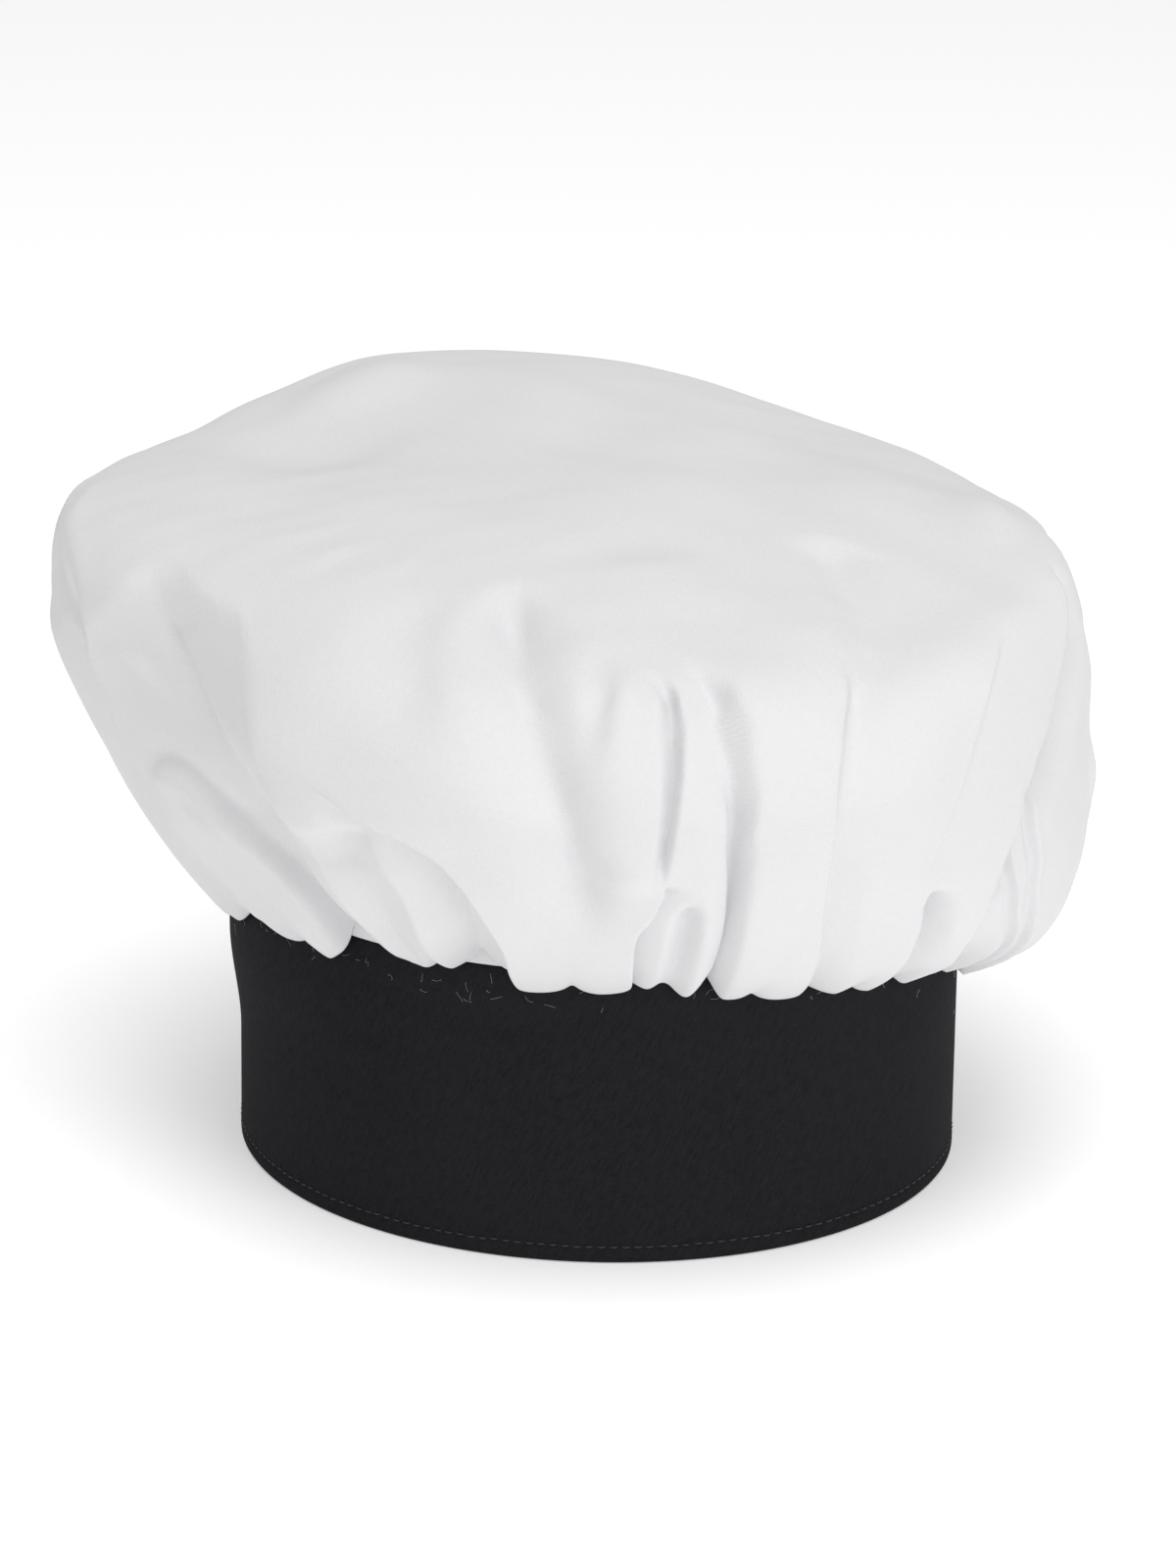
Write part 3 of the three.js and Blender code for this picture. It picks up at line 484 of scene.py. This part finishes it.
def add_valleys(az, up, wide_scale, high_scale, out):
    """Adds the valleys' push, in millimetres."""
    for valley in named_rows(VALLEY_COLUMNS, VALLEYS):
        here = near_path(valley, az, up)
        across, along, _, _, length = across_crest(
            valley["path"], az[here], up[here], wide_scale[here], high_scale[here]
        )
        strength, _, spread = fold_strength(valley, along, length)
        depth = towards_foot(valley, "depth", "foot", along) * strength
        left = towards_foot(valley, "left", "leftFoot", along) * spread
        right = towards_foot(valley, "right", "rightFoot", along) * spread
        for step in ROUNDING:
            s = across + step * valley["round"]
            out[here] += valley_profile(valley, s, depth, left, right) / len(ROUNDING)


def add_dents(points, out):
    """Adds the ridges and hollows of the table, each in its own tangent plane."""
    sides = np.arange(-1, 2)
    for _, at_az, at_up, long_way, short_way, turn, height in DENTS:
        near_az, near_up = at_az + DENT_PLANE[0] * sides, at_up + DENT_PLANE[1] * sides
        az, up = np.meshgrid(near_az, near_up, indexing="ij")
        radius, z = smooth_crown(az, up)
        patch = polar(radius, az, z)
        level = patch[2, 1] - patch[0, 1]
        level /= np.linalg.norm(level)
        rise = patch[1, 2] - patch[1, 0]
        rise -= level * (rise @ level)
        rise /= np.linalg.norm(rise)
        offset = points - patch[1, 1]
        a = math.radians(turn)
        x, y = offset @ level, offset @ rise
        u = (x * math.cos(a) + y * math.sin(a)) / long_way
        v = (y * math.cos(a) - x * math.sin(a)) / short_way
        near = np.linalg.norm(offset, axis=-1) < DENT_REACH * long_way
        out += np.where(near, height * hump(np.hypot(u, v)), 0)


def all_pinches():
    """Azimuths and rises of every pinch of the hem, round the back too, back to the first."""
    i = np.arange(BACK_LOBES)
    # The back's lobes vary in width and height without repeating.
    widths = 1 + 0.38 * np.sin(i * 2.4) + 0.25 * np.sin(i * 5.3)
    first, last = FRONT_PINCHES[0][0] + 360, FRONT_PINCHES[-1][0]
    back = last + np.cumsum(widths)[:-1] / widths.sum() * (first - last)
    back_rises = 0.9 + 0.9 * np.sin(i[:-1] * 3.7)
    front_azimuths, front_rises = np.array(FRONT_PINCHES).T
    azimuths = np.concatenate([front_azimuths, back, [first]])
    return azimuths, np.concatenate([front_rises, back_rises, front_rises[:1]])


def gathers(az, up):
    """How far the hem's lobes bulge, and how far the hem is raised at its pinches."""
    pinches, rises = all_pinches()
    turned = (az - pinches[0]) % 360 + pinches[0]
    i = np.clip(np.searchsorted(pinches, turned, side="right") - 1, 0, len(pinches) - 2)
    width = pinches[i + 1] - pinches[i]
    share = np.clip((turned - pinches[i]) / width, 0, 1)
    chord = np.radians(width) * BAND_LONG
    arch = (4 * share * (1 - share)) ** LOBE_ROUND
    size = LOBE_SIZE + LOBE_GROWTH * chord
    fade = np.exp(-up / (LOBE_FADE + LOBE_FADE_GROWTH * chord))
    bulge = (arch - LOBE_LEVEL) * size * fade
    rise = rises[i] * (1 - share) + rises[i + 1] * share
    low = 1 - smooth(0, HEM_LIFT_SHARE, up)
    lift = (rise * (1 - arch) - arch * (LOBE_SAG + LOBE_SAG_GROWTH * chord)) * low
    return bulge, lift


def rumple(points):
    """Gentle waves that keep the cloth from looking machined: plane waves with fixed directions."""
    rng = np.random.default_rng(11)
    total = 0
    for length, height in RUMPLE:
        for _ in range(WAVES_EACH):
            way = rng.normal(size=3)
            way /= np.linalg.norm(way)
            phase = rng.uniform(0, 6.28)
            total = total + height * np.sin(points @ way * 2 * math.pi / length + phase) / WAVES_SUM
    return total


def crown_slopes(az, up):
    """Millimetres per degree and per share, and the outward and upward parts of the normal."""
    radius, height = smooth_crown(az, up)
    above, below = np.minimum(up + SLOPE_STEP, 1.0), np.maximum(up - SLOPE_STEP, 0.0)
    ahead, behind = smooth_crown(az, above), smooth_crown(az, below)
    slope_r, slope_z = ahead[1] - behind[1], behind[0] - ahead[0]
    length = np.hypot(slope_r, slope_z)
    wide_scale = np.radians(1) * np.maximum(radius, LEAST_RADIUS)
    return radius, height, wide_scale, length / (above - below), slope_r / length, slope_z / length


def crown_face(az, up, inward=0.0):
    """Points of the crown's outer face, or of one that lies inward of it, in millimetres."""
    radius, height, wide_scale, high_scale, out_r, out_z = crown_slopes(az, up)
    flat = polar(radius, az, height)
    bulge, lift = gathers(az, up)
    out = bulge - inward
    level_push, rise_push = np.zeros_like(radius), np.zeros_like(radius)
    add_folds(az, up, wide_scale, high_scale, out, level_push, rise_push)
    add_valleys(az, up, wide_scale, high_scale, out)
    add_dents(flat, out)
    loose = smooth(0, 0.12, up) * (1 - 0.5 * smooth(0.9, 1.0, up))  # less at the hem and the middle
    out = out + rumple(flat) * loose
    if inward:  # the inner face doesn't lean with the crests
        level_push, rise_push = level_push * 0, rise_push * 0
    turn = np.radians(az)
    r = radius + out_r * out - out_z * rise_push
    z = height + out_z * out + out_r * rise_push + lift
    clear = lapped_radius(az) + HEM_CLEAR - inward * 0.4
    beside = 1 - smooth(BAND_HEIGHT + CLEAR_RUN[0], BAND_HEIGHT + CLEAR_RUN[1], z)
    r = r + np.maximum(clear - r, 0) * beside
    x = r * np.cos(turn) - level_push * np.sin(turn)
    y = r * np.sin(turn) + level_push * np.cos(turn)
    return np.stack([x, y, z], -1)


def crown_azimuths(up):
    """Azimuths of the crown's columns in each row. They crowd together in front and on the crests."""
    around = np.arange(0, 360.1, 0.25)
    az, rows = np.meshgrid(around, up, indexing="ij")
    density = PLAIN_DENSITY + FRONT_DENSITY * (smooth(165, 195, az) - smooth(345, 360, az))
    scales = crown_slopes(az, rows)[2:4]
    for fold in named_rows(FOLD_COLUMNS, FOLDS):
        here = near_path(fold, az, rows)
        across, along, _, _, length = across_crest(
            fold["path"], az[here], rows[here], scales[0][here], scales[1][here]
        )
        strength, _, _ = fold_strength(fold, along, length)
        crowd = strength * CREST_DENSITY / (1 + fold["wall"])
        density[here] += crowd * np.exp(-((across - fold["side"] * 1.5) ** 2) / 14)
    for _ in range(ROW_BLENDS):
        density[:, 1:-1] = (density[:, :-2] + 2 * density[:, 1:-1] + density[:, 2:]) / 4
    total = np.concatenate([np.zeros((1, len(up))), np.cumsum((density[1:] + density[:-1]) / 2, axis=0)])
    places = np.arange(OUTER_COLUMNS) / OUTER_COLUMNS
    return np.stack([np.interp(places * total[-1, j], total[:, j], around) for j in range(len(up))], 1)


def soften(points):
    """Rounds a grid of points that closes round its first axis, and keeps its first and last rows."""
    around = (np.roll(points, 1, 0) + 2 * points + np.roll(points, -1, 0)) / 4
    upward = (around[:, :-2] + 2 * around[:, 1:-1] + around[:, 2:]) / 4
    return np.concatenate([around[:, :1], upward, around[:, -1:]], 1)


def crown_column_start(az, gap):
    """The hidden start of each column: inside the band, over its top edge and down to the rolled hem."""
    outside = lapped_radius(az) + gap
    inside = band_radius(az) - BAND_WALL - gap
    hem_z = crown_face(az[:, None], np.zeros((len(az), 1)))[:, 0, 2]
    stops = [
        polar(inside, az, BAND_HEIGHT - TUCK_DEPTH),
        polar(inside, az, BAND_HEIGHT + gap),
        polar(outside, az, BAND_HEIGHT + gap),
        polar(outside, az, hem_z + ROLL_TOP),
        polar(outside + ROLL_OUT, az, hem_z + ROLL_FOOT),
    ]
    return np.stack(stops, 1)


def mesh_object(name, points, faces, material, cut=None):
    """A smooth-shaded object from points in millimetres about the band's axis. The array named cut
    gives each point's place on the flat cloth, for the weave."""
    mesh = bpy.data.meshes.new(name)
    mesh.from_pydata(((np.asarray(points) + SEAT) * MM).tolist(), [], faces)
    mesh.polygons.foreach_set("use_smooth", [True] * len(mesh.polygons))
    mesh.materials.append(material)
    if cut is not None:
        corners = np.empty(len(mesh.loops), int)
        mesh.loops.foreach_get("vertex_index", corners)
        mesh.uv_layers.new(name="cut").data.foreach_set("uv", cut[corners].ravel())
    obj = bpy.data.objects.new(name, mesh)
    bpy.context.scene.collection.objects.link(obj)
    return obj


def ring_faces(columns, rows, start=0, flip=False, closed=False):
    """Quads of a grid that closes round its columns, and round its rows too where it is closed. Points
    are numbered column by column."""
    i = np.arange(columns)[:, None]
    j = np.arange(rows if closed else rows - 1)[None, :]
    here, ahead = start + i * rows, start + (i + 1) % columns * rows
    above = (j + 1) % rows
    quads = np.stack([here + j, ahead + j, ahead + above, here + above], -1).reshape(-1, 4)
    return (quads[:, ::-1] if flip else quads).tolist()


def on_disc(az, up):
    """Place on the disc that the crown is cut from, in disc widths."""
    turn = np.radians(az)
    return np.stack([0.5 + 0.5 * (1 - up) * np.cos(turn), 0.5 + 0.5 * (1 - up) * np.sin(turn)], -1)


def column_cuts(az, up):
    """Places on the disc of a grid of the crown's points, with those of its hidden start."""
    tuck = -TUCK_SHARE * np.arange(TUCK_POINTS, 0, -1)
    hidden = on_disc(np.repeat(az[:, :1], TUCK_POINTS, 1), tuck)
    return np.concatenate([hidden, on_disc(az, up)], 1).reshape(-1, 2)


def raw_edge_faces(columns, rows, first_inner, inner_columns, inner_rows):
    """Faces that join the crown's outer and inner face inside the band. There are several outer columns
    to one inner column."""
    faces = []
    half = INNER_STEP // 2
    for i in range(inner_columns):
        here = first_inner + i * inner_rows
        ahead = first_inner + (i + 1) % inner_columns * inner_rows
        outer = [((i * INNER_STEP + k) % columns) * rows for k in range(INNER_STEP + 1)]
        for k in range(INNER_STEP):
            faces.append([outer[k + 1], outer[k], here if k < half else ahead])
        faces.append([outer[half], here, ahead])
    return faces


def fan_faces(columns, rows, start, middle, flip=False):
    """Triangles from the last points of the columns to a middle point."""
    faces = []
    for i in range(columns):
        here = start + i * rows + rows - 1
        ahead = start + (i + 1) % columns * rows + rows - 1
        faces.append([ahead, here, middle] if flip else [here, ahead, middle])
    return faces


def make_crown(material):
    """Both faces of the crown, joined at the raw edge inside the band and closed at the top."""
    hem = np.linspace(0, HEM_SHARE, HEM_ROWS)
    side = np.linspace(HEM_SHARE, SHOULDER_SHARE, SIDE_ROWS)
    top = np.linspace(SHOULDER_SHARE, LAST_SHARE, TOP_ROWS)
    up = np.concatenate([hem[:-1], side[:-1], top])
    az = crown_azimuths(up)
    face = soften(crown_face(az, np.broadcast_to(up, az.shape)))
    outer = np.concatenate([crown_column_start(az[:, 0], TUCK_GAP), face], 1)
    picked = np.concatenate([np.arange(0, len(up), INNER_ROW_STEP), [len(up) - 1]])
    inner_az, inner_up = az[::INNER_STEP, picked], up[picked]
    inner_face = crown_face(inner_az, np.broadcast_to(inner_up, inner_az.shape), INNER_GAP)
    inner = np.concatenate([crown_column_start(inner_az[:, 0], TUCK_GAP + CLOTH), inner_face], 1)
    columns, rows = outer.shape[:2]
    inner_columns, inner_rows = inner.shape[:2]
    first_inner = columns * rows
    middle = first_inner + inner_columns * inner_rows
    middles = [[0, 0, outer[:, -1, 2].mean() + 0.05], [0, 0, inner[:, -1, 2].mean()]]
    points = np.concatenate([outer.reshape(-1, 3), inner.reshape(-1, 3), middles])
    cut = np.concatenate([column_cuts(az, up), column_cuts(inner_az, inner_up), [[0.5, 0.5]] * 2])
    faces = ring_faces(columns, rows)
    faces += ring_faces(inner_columns, inner_rows, first_inner, flip=True)
    faces += raw_edge_faces(columns, rows, first_inner, inner_columns, inner_rows)
    faces += fan_faces(columns, rows, 0, middle)
    faces += fan_faces(inner_columns, inner_rows, first_inner, middle + 1, flip=True)
    return mesh_object("crown_cloth", points, faces, material, cut)


def band_face(az, z, inside=0.0):
    """Points of the band's outer face, or inside of it by a share of its thickness, in millimetres."""
    hem = smooth_crown(az, np.zeros_like(az))[1]
    start, full, turn_back, end = (hem - below for below in FLARE_RUN)
    leans = smooth(start, full, z) * (1 - smooth(turn_back, end, z))
    out = lap_rise(az) + FLARE * hump((az - FLARE_AT) / FLARE_HALF) * leans
    for at_az, at_z, half_az, half_z, height in BAND_DENTS:
        out = out + height * hump((az - at_az) / half_az) * hump((z - at_z) / half_z)
    seam = SEAM_RISE * hump((z - STITCH_HEIGHT / 2) / 2.4) - SEAM_GROOVE * hump((z - STITCH_HEIGHT) / 1.3)
    out = out + seam * (1 - inside)
    under = smooth(LAP_INNER - LAP_END, LAP_INNER + LAP_END, az) * before_lap_end(az)
    thickness = BAND_WALL + LAP_RISE * under
    return polar(band_radius(az) + out - thickness * inside, az, z)


def make_band(material):
    """The band's outer and inner faces and its two folded edges, with more columns at the lap's ends."""
    steps = np.array([LAP_INNER, LAP_OUTER])[:, None] + np.linspace(-0.4, 0.4, 9)
    az = np.sort(np.concatenate([np.arange(0, 360, 1.0) + 0.5, steps.ravel()]))
    seam_z = np.linspace(BAND_EDGE, 8, 12)
    outer_z = np.concatenate([seam_z[:-1], np.linspace(8, BAND_HEIGHT - BAND_EDGE, 30)])
    inner_z = np.linspace(BAND_HEIGHT - BAND_EDGE, BAND_EDGE, 16)
    top_z, foot_z = [BAND_HEIGHT - 0.2, BAND_HEIGHT, BAND_HEIGHT - 0.2], [0.2, 0, 0.2]
    z = np.concatenate([outer_z, top_z, inner_z, foot_z])
    share = np.concatenate([outer_z * 0, [0.2, 0.5, 0.8], inner_z * 0 + 1, [0.8, 0.5, 0.2]])
    grid_az, grid_z = np.meshgrid(az, z, indexing="ij")
    points = band_face(grid_az, grid_z, np.broadcast_to(share, grid_az.shape))
    cut = np.stack([grid_az / 360, (grid_z + 6 * share) / BAND_LENGTH], -1).reshape(-1, 2)
    faces = ring_faces(len(az), len(z), closed=True)
    return mesh_object("band_cloth", points.reshape(-1, 3), faces, material, cut)


def threads(name, lines, outward, radii, material, sides=6):
    """Short tubes along lines of points. The radii are those at each point of a line."""
    along = np.gradient(lines, axis=1)
    across = np.cross(outward[:, None], along)
    across /= np.linalg.norm(across, axis=-1, keepdims=True)
    raised = np.cross(along, across)
    raised /= np.linalg.norm(raised, axis=-1, keepdims=True)
    turn = 2 * math.pi * np.arange(sides) / sides
    ring = across[:, :, None] * np.cos(turn)[:, None] + raised[:, :, None] * np.sin(turn)[:, None]
    points = lines[:, :, None] + ring * np.asarray(radii)[:, None, None]
    count = lines.shape[1]
    faces = []
    for start in range(0, lines.shape[0] * count * sides, count * sides):
        for row in range(start, start + (count - 1) * sides, sides):
            for k in range(sides):
                after = (k + 1) % sides
                faces.append([row + k, row + after, row + sides + after, row + sides + k])
        faces.append(list(range(start, start + sides))[::-1])
        faces.append(list(range(start + (count - 1) * sides, start + count * sides)))
    return mesh_object(name, points.reshape(-1, 3), faces, material)


def outward_at(az):
    """Level directions away from the band's axis."""
    return polar(np.ones_like(az), az, np.zeros_like(az))


def make_stitching(material):
    """The topstitching near the band's lower edge, outside and inside, and down its lapped end."""
    rng = np.random.default_rng(5)
    sway = np.linspace(-1, 1, 6)
    radii = THREAD * np.array([0.4, 0.85, 1, 1, 0.85, 0.4])
    height = 0.3 * (1 - 1.5 * sway**2)  # the ends of a stitch go down into the cloth
    az = (np.arange(STITCHES) + 0.5) * 360 / STITCHES + rng.normal(0, 0.06, STITCHES)
    half = math.degrees(STITCH_LENGTH / 2 / BAND_LONG)
    level_az = az[:, None] + half * sway
    level_z = np.repeat(STITCH_HEIGHT + rng.normal(0, 0.07, (STITCHES, 1)), len(sway), axis=1)
    lines, ways = [], []
    for inside, side in ((0.0, 1.0), (1.0, -1.0)):
        face = band_face(level_az, level_z, np.full_like(level_az, inside))
        outward = outward_at(az)
        lines.append(face + side * outward[:, None] * height[:, None])
        ways.append(side * outward)
    down = np.arange(8.0, BAND_HEIGHT - 14, STITCH_STEP)
    for lap_az in (LAP_OUTER - before for before in LAP_SEAMS):
        z = down[:, None] + STITCH_LENGTH / 2 * sway
        face = band_face(np.full_like(z, lap_az), z)
        outward = outward_at(np.full(len(down), lap_az))
        lines.append(face + outward[:, None] * height[:, None])
        ways.append(outward)
    return threads("band_stitching", np.concatenate(lines), np.concatenate(ways), radii, material)


def make_lint(material):
    """Short white hairs that cling to the band below the hem."""
    rng = np.random.default_rng(8)
    az = rng.uniform(*LINT_AZIMUTHS, HAIRS)
    hem = smooth_crown(az, np.zeros(HAIRS))[1]
    z = hem - 1 - rng.exponential(LINT_DROP, HAIRS)
    heading, bend = rng.uniform(0, math.pi, HAIRS), rng.normal(0, 1.2, HAIRS)
    length = rng.uniform(*HAIR_LENGTHS, HAIRS)
    step = np.linspace(-0.5, 0.5, 7)
    angle = heading[:, None] + bend[:, None] * step
    each = length[:, None] / (len(step) - 1)
    level = np.cumsum(np.cos(angle) * each, axis=1)
    rise = np.cumsum(np.sin(angle) * each, axis=1)
    hair_az = az[:, None] + np.degrees(level / BAND_LONG)
    hair_z = np.maximum(z[:, None] + rise, 2)
    outward = outward_at(az)
    lines = band_face(hair_az, hair_z) + outward[:, None] * 0.12
    return threads("lint", lines, outward, np.full(len(step), HAIR), material, sides=3)


def principled(name, color, roughness, specular=0.3):
    material = bpy.data.materials.new(name)
    material.use_nodes = True
    shader = material.node_tree.nodes["Principled BSDF"]
    shader.inputs["Base Color"].default_value = (*color, 1)
    shader.inputs["Roughness"].default_value = roughness
    shader.inputs["Specular IOR Level"].default_value = specular
    return material


def add_node(tree, kind, inputs=(), **settings):
    """A shader node. Its inputs are linked where they are sockets, and set where they are values."""
    node = tree.nodes.new("ShaderNode" + kind)
    for name, value in settings.items():
        setattr(node, name, value)
    for name, value in dict(inputs).items():
        if isinstance(value, bpy.types.NodeSocket):
            tree.links.new(value, node.inputs[name])
        else:
            node.inputs[name].default_value = value
    return node


def thread_noise(tree, place, streak, size, turn):
    """Streaks as wide and long as uneven threads, which run across the cloth at an angle."""
    width, length = streak
    sizes = {"Vector": place, "Rotation": (0, 0, turn), "Scale": (length * size, width * size, 1)}
    mapped = add_node(tree, "Mapping", sizes, vector_type="TEXTURE").outputs[0]
    return add_node(tree, "TexNoise", {"Vector": mapped, "Scale": 1.0, "Detail": 2.0}).outputs["Fac"]


def woven(name, dark, light, roughness, specular, size, diagonal, depth):
    """A cloth of uneven threads: size is a millimetre on the cut of the cloth, diagonal the strength of
    its twill line against that of its threads, and depth their relief in millimetres."""
    material = principled(name, light, roughness, specular)
    tree = material.node_tree
    shader = tree.nodes["Principled BSDF"]
    place = add_node(tree, "UVMap", uv_map="cut").outputs[0]
    warp = thread_noise(tree, place, WARP, size, 0.0)
    weft = thread_noise(tree, place, WEFT, size, math.pi / 2)
    twill = thread_noise(tree, place, TWILL, size, TWILL_TURN)
    both = add_node(tree, "Math", {0: warp, 1: weft}, operation="ADD").outputs[0]
    with_twill = {0: twill, 1: diagonal, 2: both}
    weave = add_node(tree, "Math", with_twill, operation="MULTIPLY_ADD").outputs[0]
    low, high = 0.72 + 0.36 * diagonal, 1.28 + 0.64 * diagonal
    shade = add_node(tree, "MapRange", {"Value": weave, "From Min": low, "From Max": high}).outputs[0]
    broad = {"Vector": place, "Scale": 0.02 / size, "Detail": 3.0}
    patches = add_node(tree, "TexNoise", broad).outputs["Fac"]
    mixed = add_node(tree, "Math", {0: patches, 1: 0.6, 2: shade}, operation="MULTIPLY_ADD").outputs[0]
    ramp = add_node(tree, "ValToRGB", {"Fac": mixed})
    for element, color in zip(ramp.color_ramp.elements, (dark, light)):
        element.color = (*color, 1)
    tree.links.new(ramp.outputs[0], shader.inputs["Base Color"])
    bump = add_node(tree, "Bump", {"Height": weave, "Strength": 0.6, "Distance": depth * MM})
    tree.links.new(bump.outputs[0], shader.inputs["Normal"])
    return material


def white_cotton():
    dark, light = (0.722, 0.722, 0.733), (0.76, 0.76, 0.769)
    cotton = woven("white_cotton", dark, light, 0.9, 0.15, 1 / DISC, diagonal=0.5, depth=0.12)
    shader = cotton.node_tree.nodes["Principled BSDF"]
    shader.inputs["Sheen Weight"].default_value = 0.05
    return cotton


def black_twill():
    dark, light = (0.007, 0.0065, 0.008), (0.017, 0.016, 0.0185)
    return woven("black_twill", dark, light, 0.85, 0.06, 1 / BAND_LENGTH, diagonal=1.4, depth=0.2)


def black_thread():
    return principled("black_thread", (0.03, 0.028, 0.032), 0.5, 0.4)


def pale_floor():
    material = principled("pale_floor", (0.95, 0.95, 0.95), 0.9)
    shader = material.node_tree.nodes["Principled BSDF"]
    shader.inputs["Emission Color"].default_value = (1, 1, 1, 1)
    shader.inputs["Emission Strength"].default_value = FLOOR_GLOW
    return material


def make_camera():
    back = Vector((0, -math.cos(TILT), math.sin(TILT)))
    right = Vector((1, 0, 0))
    upward = back.cross(right)
    x_axis = math.cos(ROLL) * right + math.sin(ROLL) * upward
    y_axis = math.cos(ROLL) * upward - math.sin(ROLL) * right
    camera = bpy.data.objects.new("camera", bpy.data.cameras.new("camera"))
    bpy.context.scene.collection.objects.link(camera)
    camera.data.lens = LENS
    camera.data.sensor_width = SENSOR
    turn = Matrix((x_axis, y_axis, back)).transposed().to_4x4()
    camera.matrix_world = Matrix.Translation(AIM + back * DISTANCE) @ turn
    bpy.context.scene.camera = camera


def area_light(name, place, size, power):
    light = bpy.data.lights.new(name, "AREA")
    light.size = size
    light.energy = power
    obj = bpy.data.objects.new(name, light)
    bpy.context.scene.collection.objects.link(obj)
    obj.location = place
    obj.rotation_euler = (AIM - Vector(place)).to_track_quat("-Z", "Y").to_euler()


def make_stage():
    mesh = bpy.data.meshes.new("floor")
    corners = [(x * FLOOR_HALF, y * FLOOR_HALF, 0) for x, y in ((-1, -1), (1, -1), (1, 1), (-1, 1))]
    mesh.from_pydata(corners, [], [(0, 1, 2, 3)])
    mesh.materials.append(pale_floor())
    floor = bpy.data.objects.new("floor", mesh)
    bpy.context.scene.collection.objects.link(floor)
    world = bpy.data.worlds.new("studio")
    world.use_nodes = True
    background = world.node_tree.nodes["Background"]
    background.inputs["Color"].default_value = (1, 1, 1, 1)
    background.inputs["Strength"].default_value = SKY_LIGHT
    bpy.context.scene.world = world
    area_light("key", KEY_PLACE, KEY_SIZE, KEY_POWER)
    area_light("overhead", OVERHEAD_PLACE, OVERHEAD_SIZE, OVERHEAD_POWER)
    bpy.context.scene.view_settings.view_transform = "Standard"


make_camera()
make_stage()
cotton = white_cotton()
crown = make_crown(cotton)
band = make_band(black_twill())
stitching = make_stitching(black_thread())
lint = make_lint(cotton)
for piece, node in ((crown, "crown"), (band, "band"), (stitching, "band"), (lint, "crown")):
    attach(piece, "root")
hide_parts("crown")
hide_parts("band")
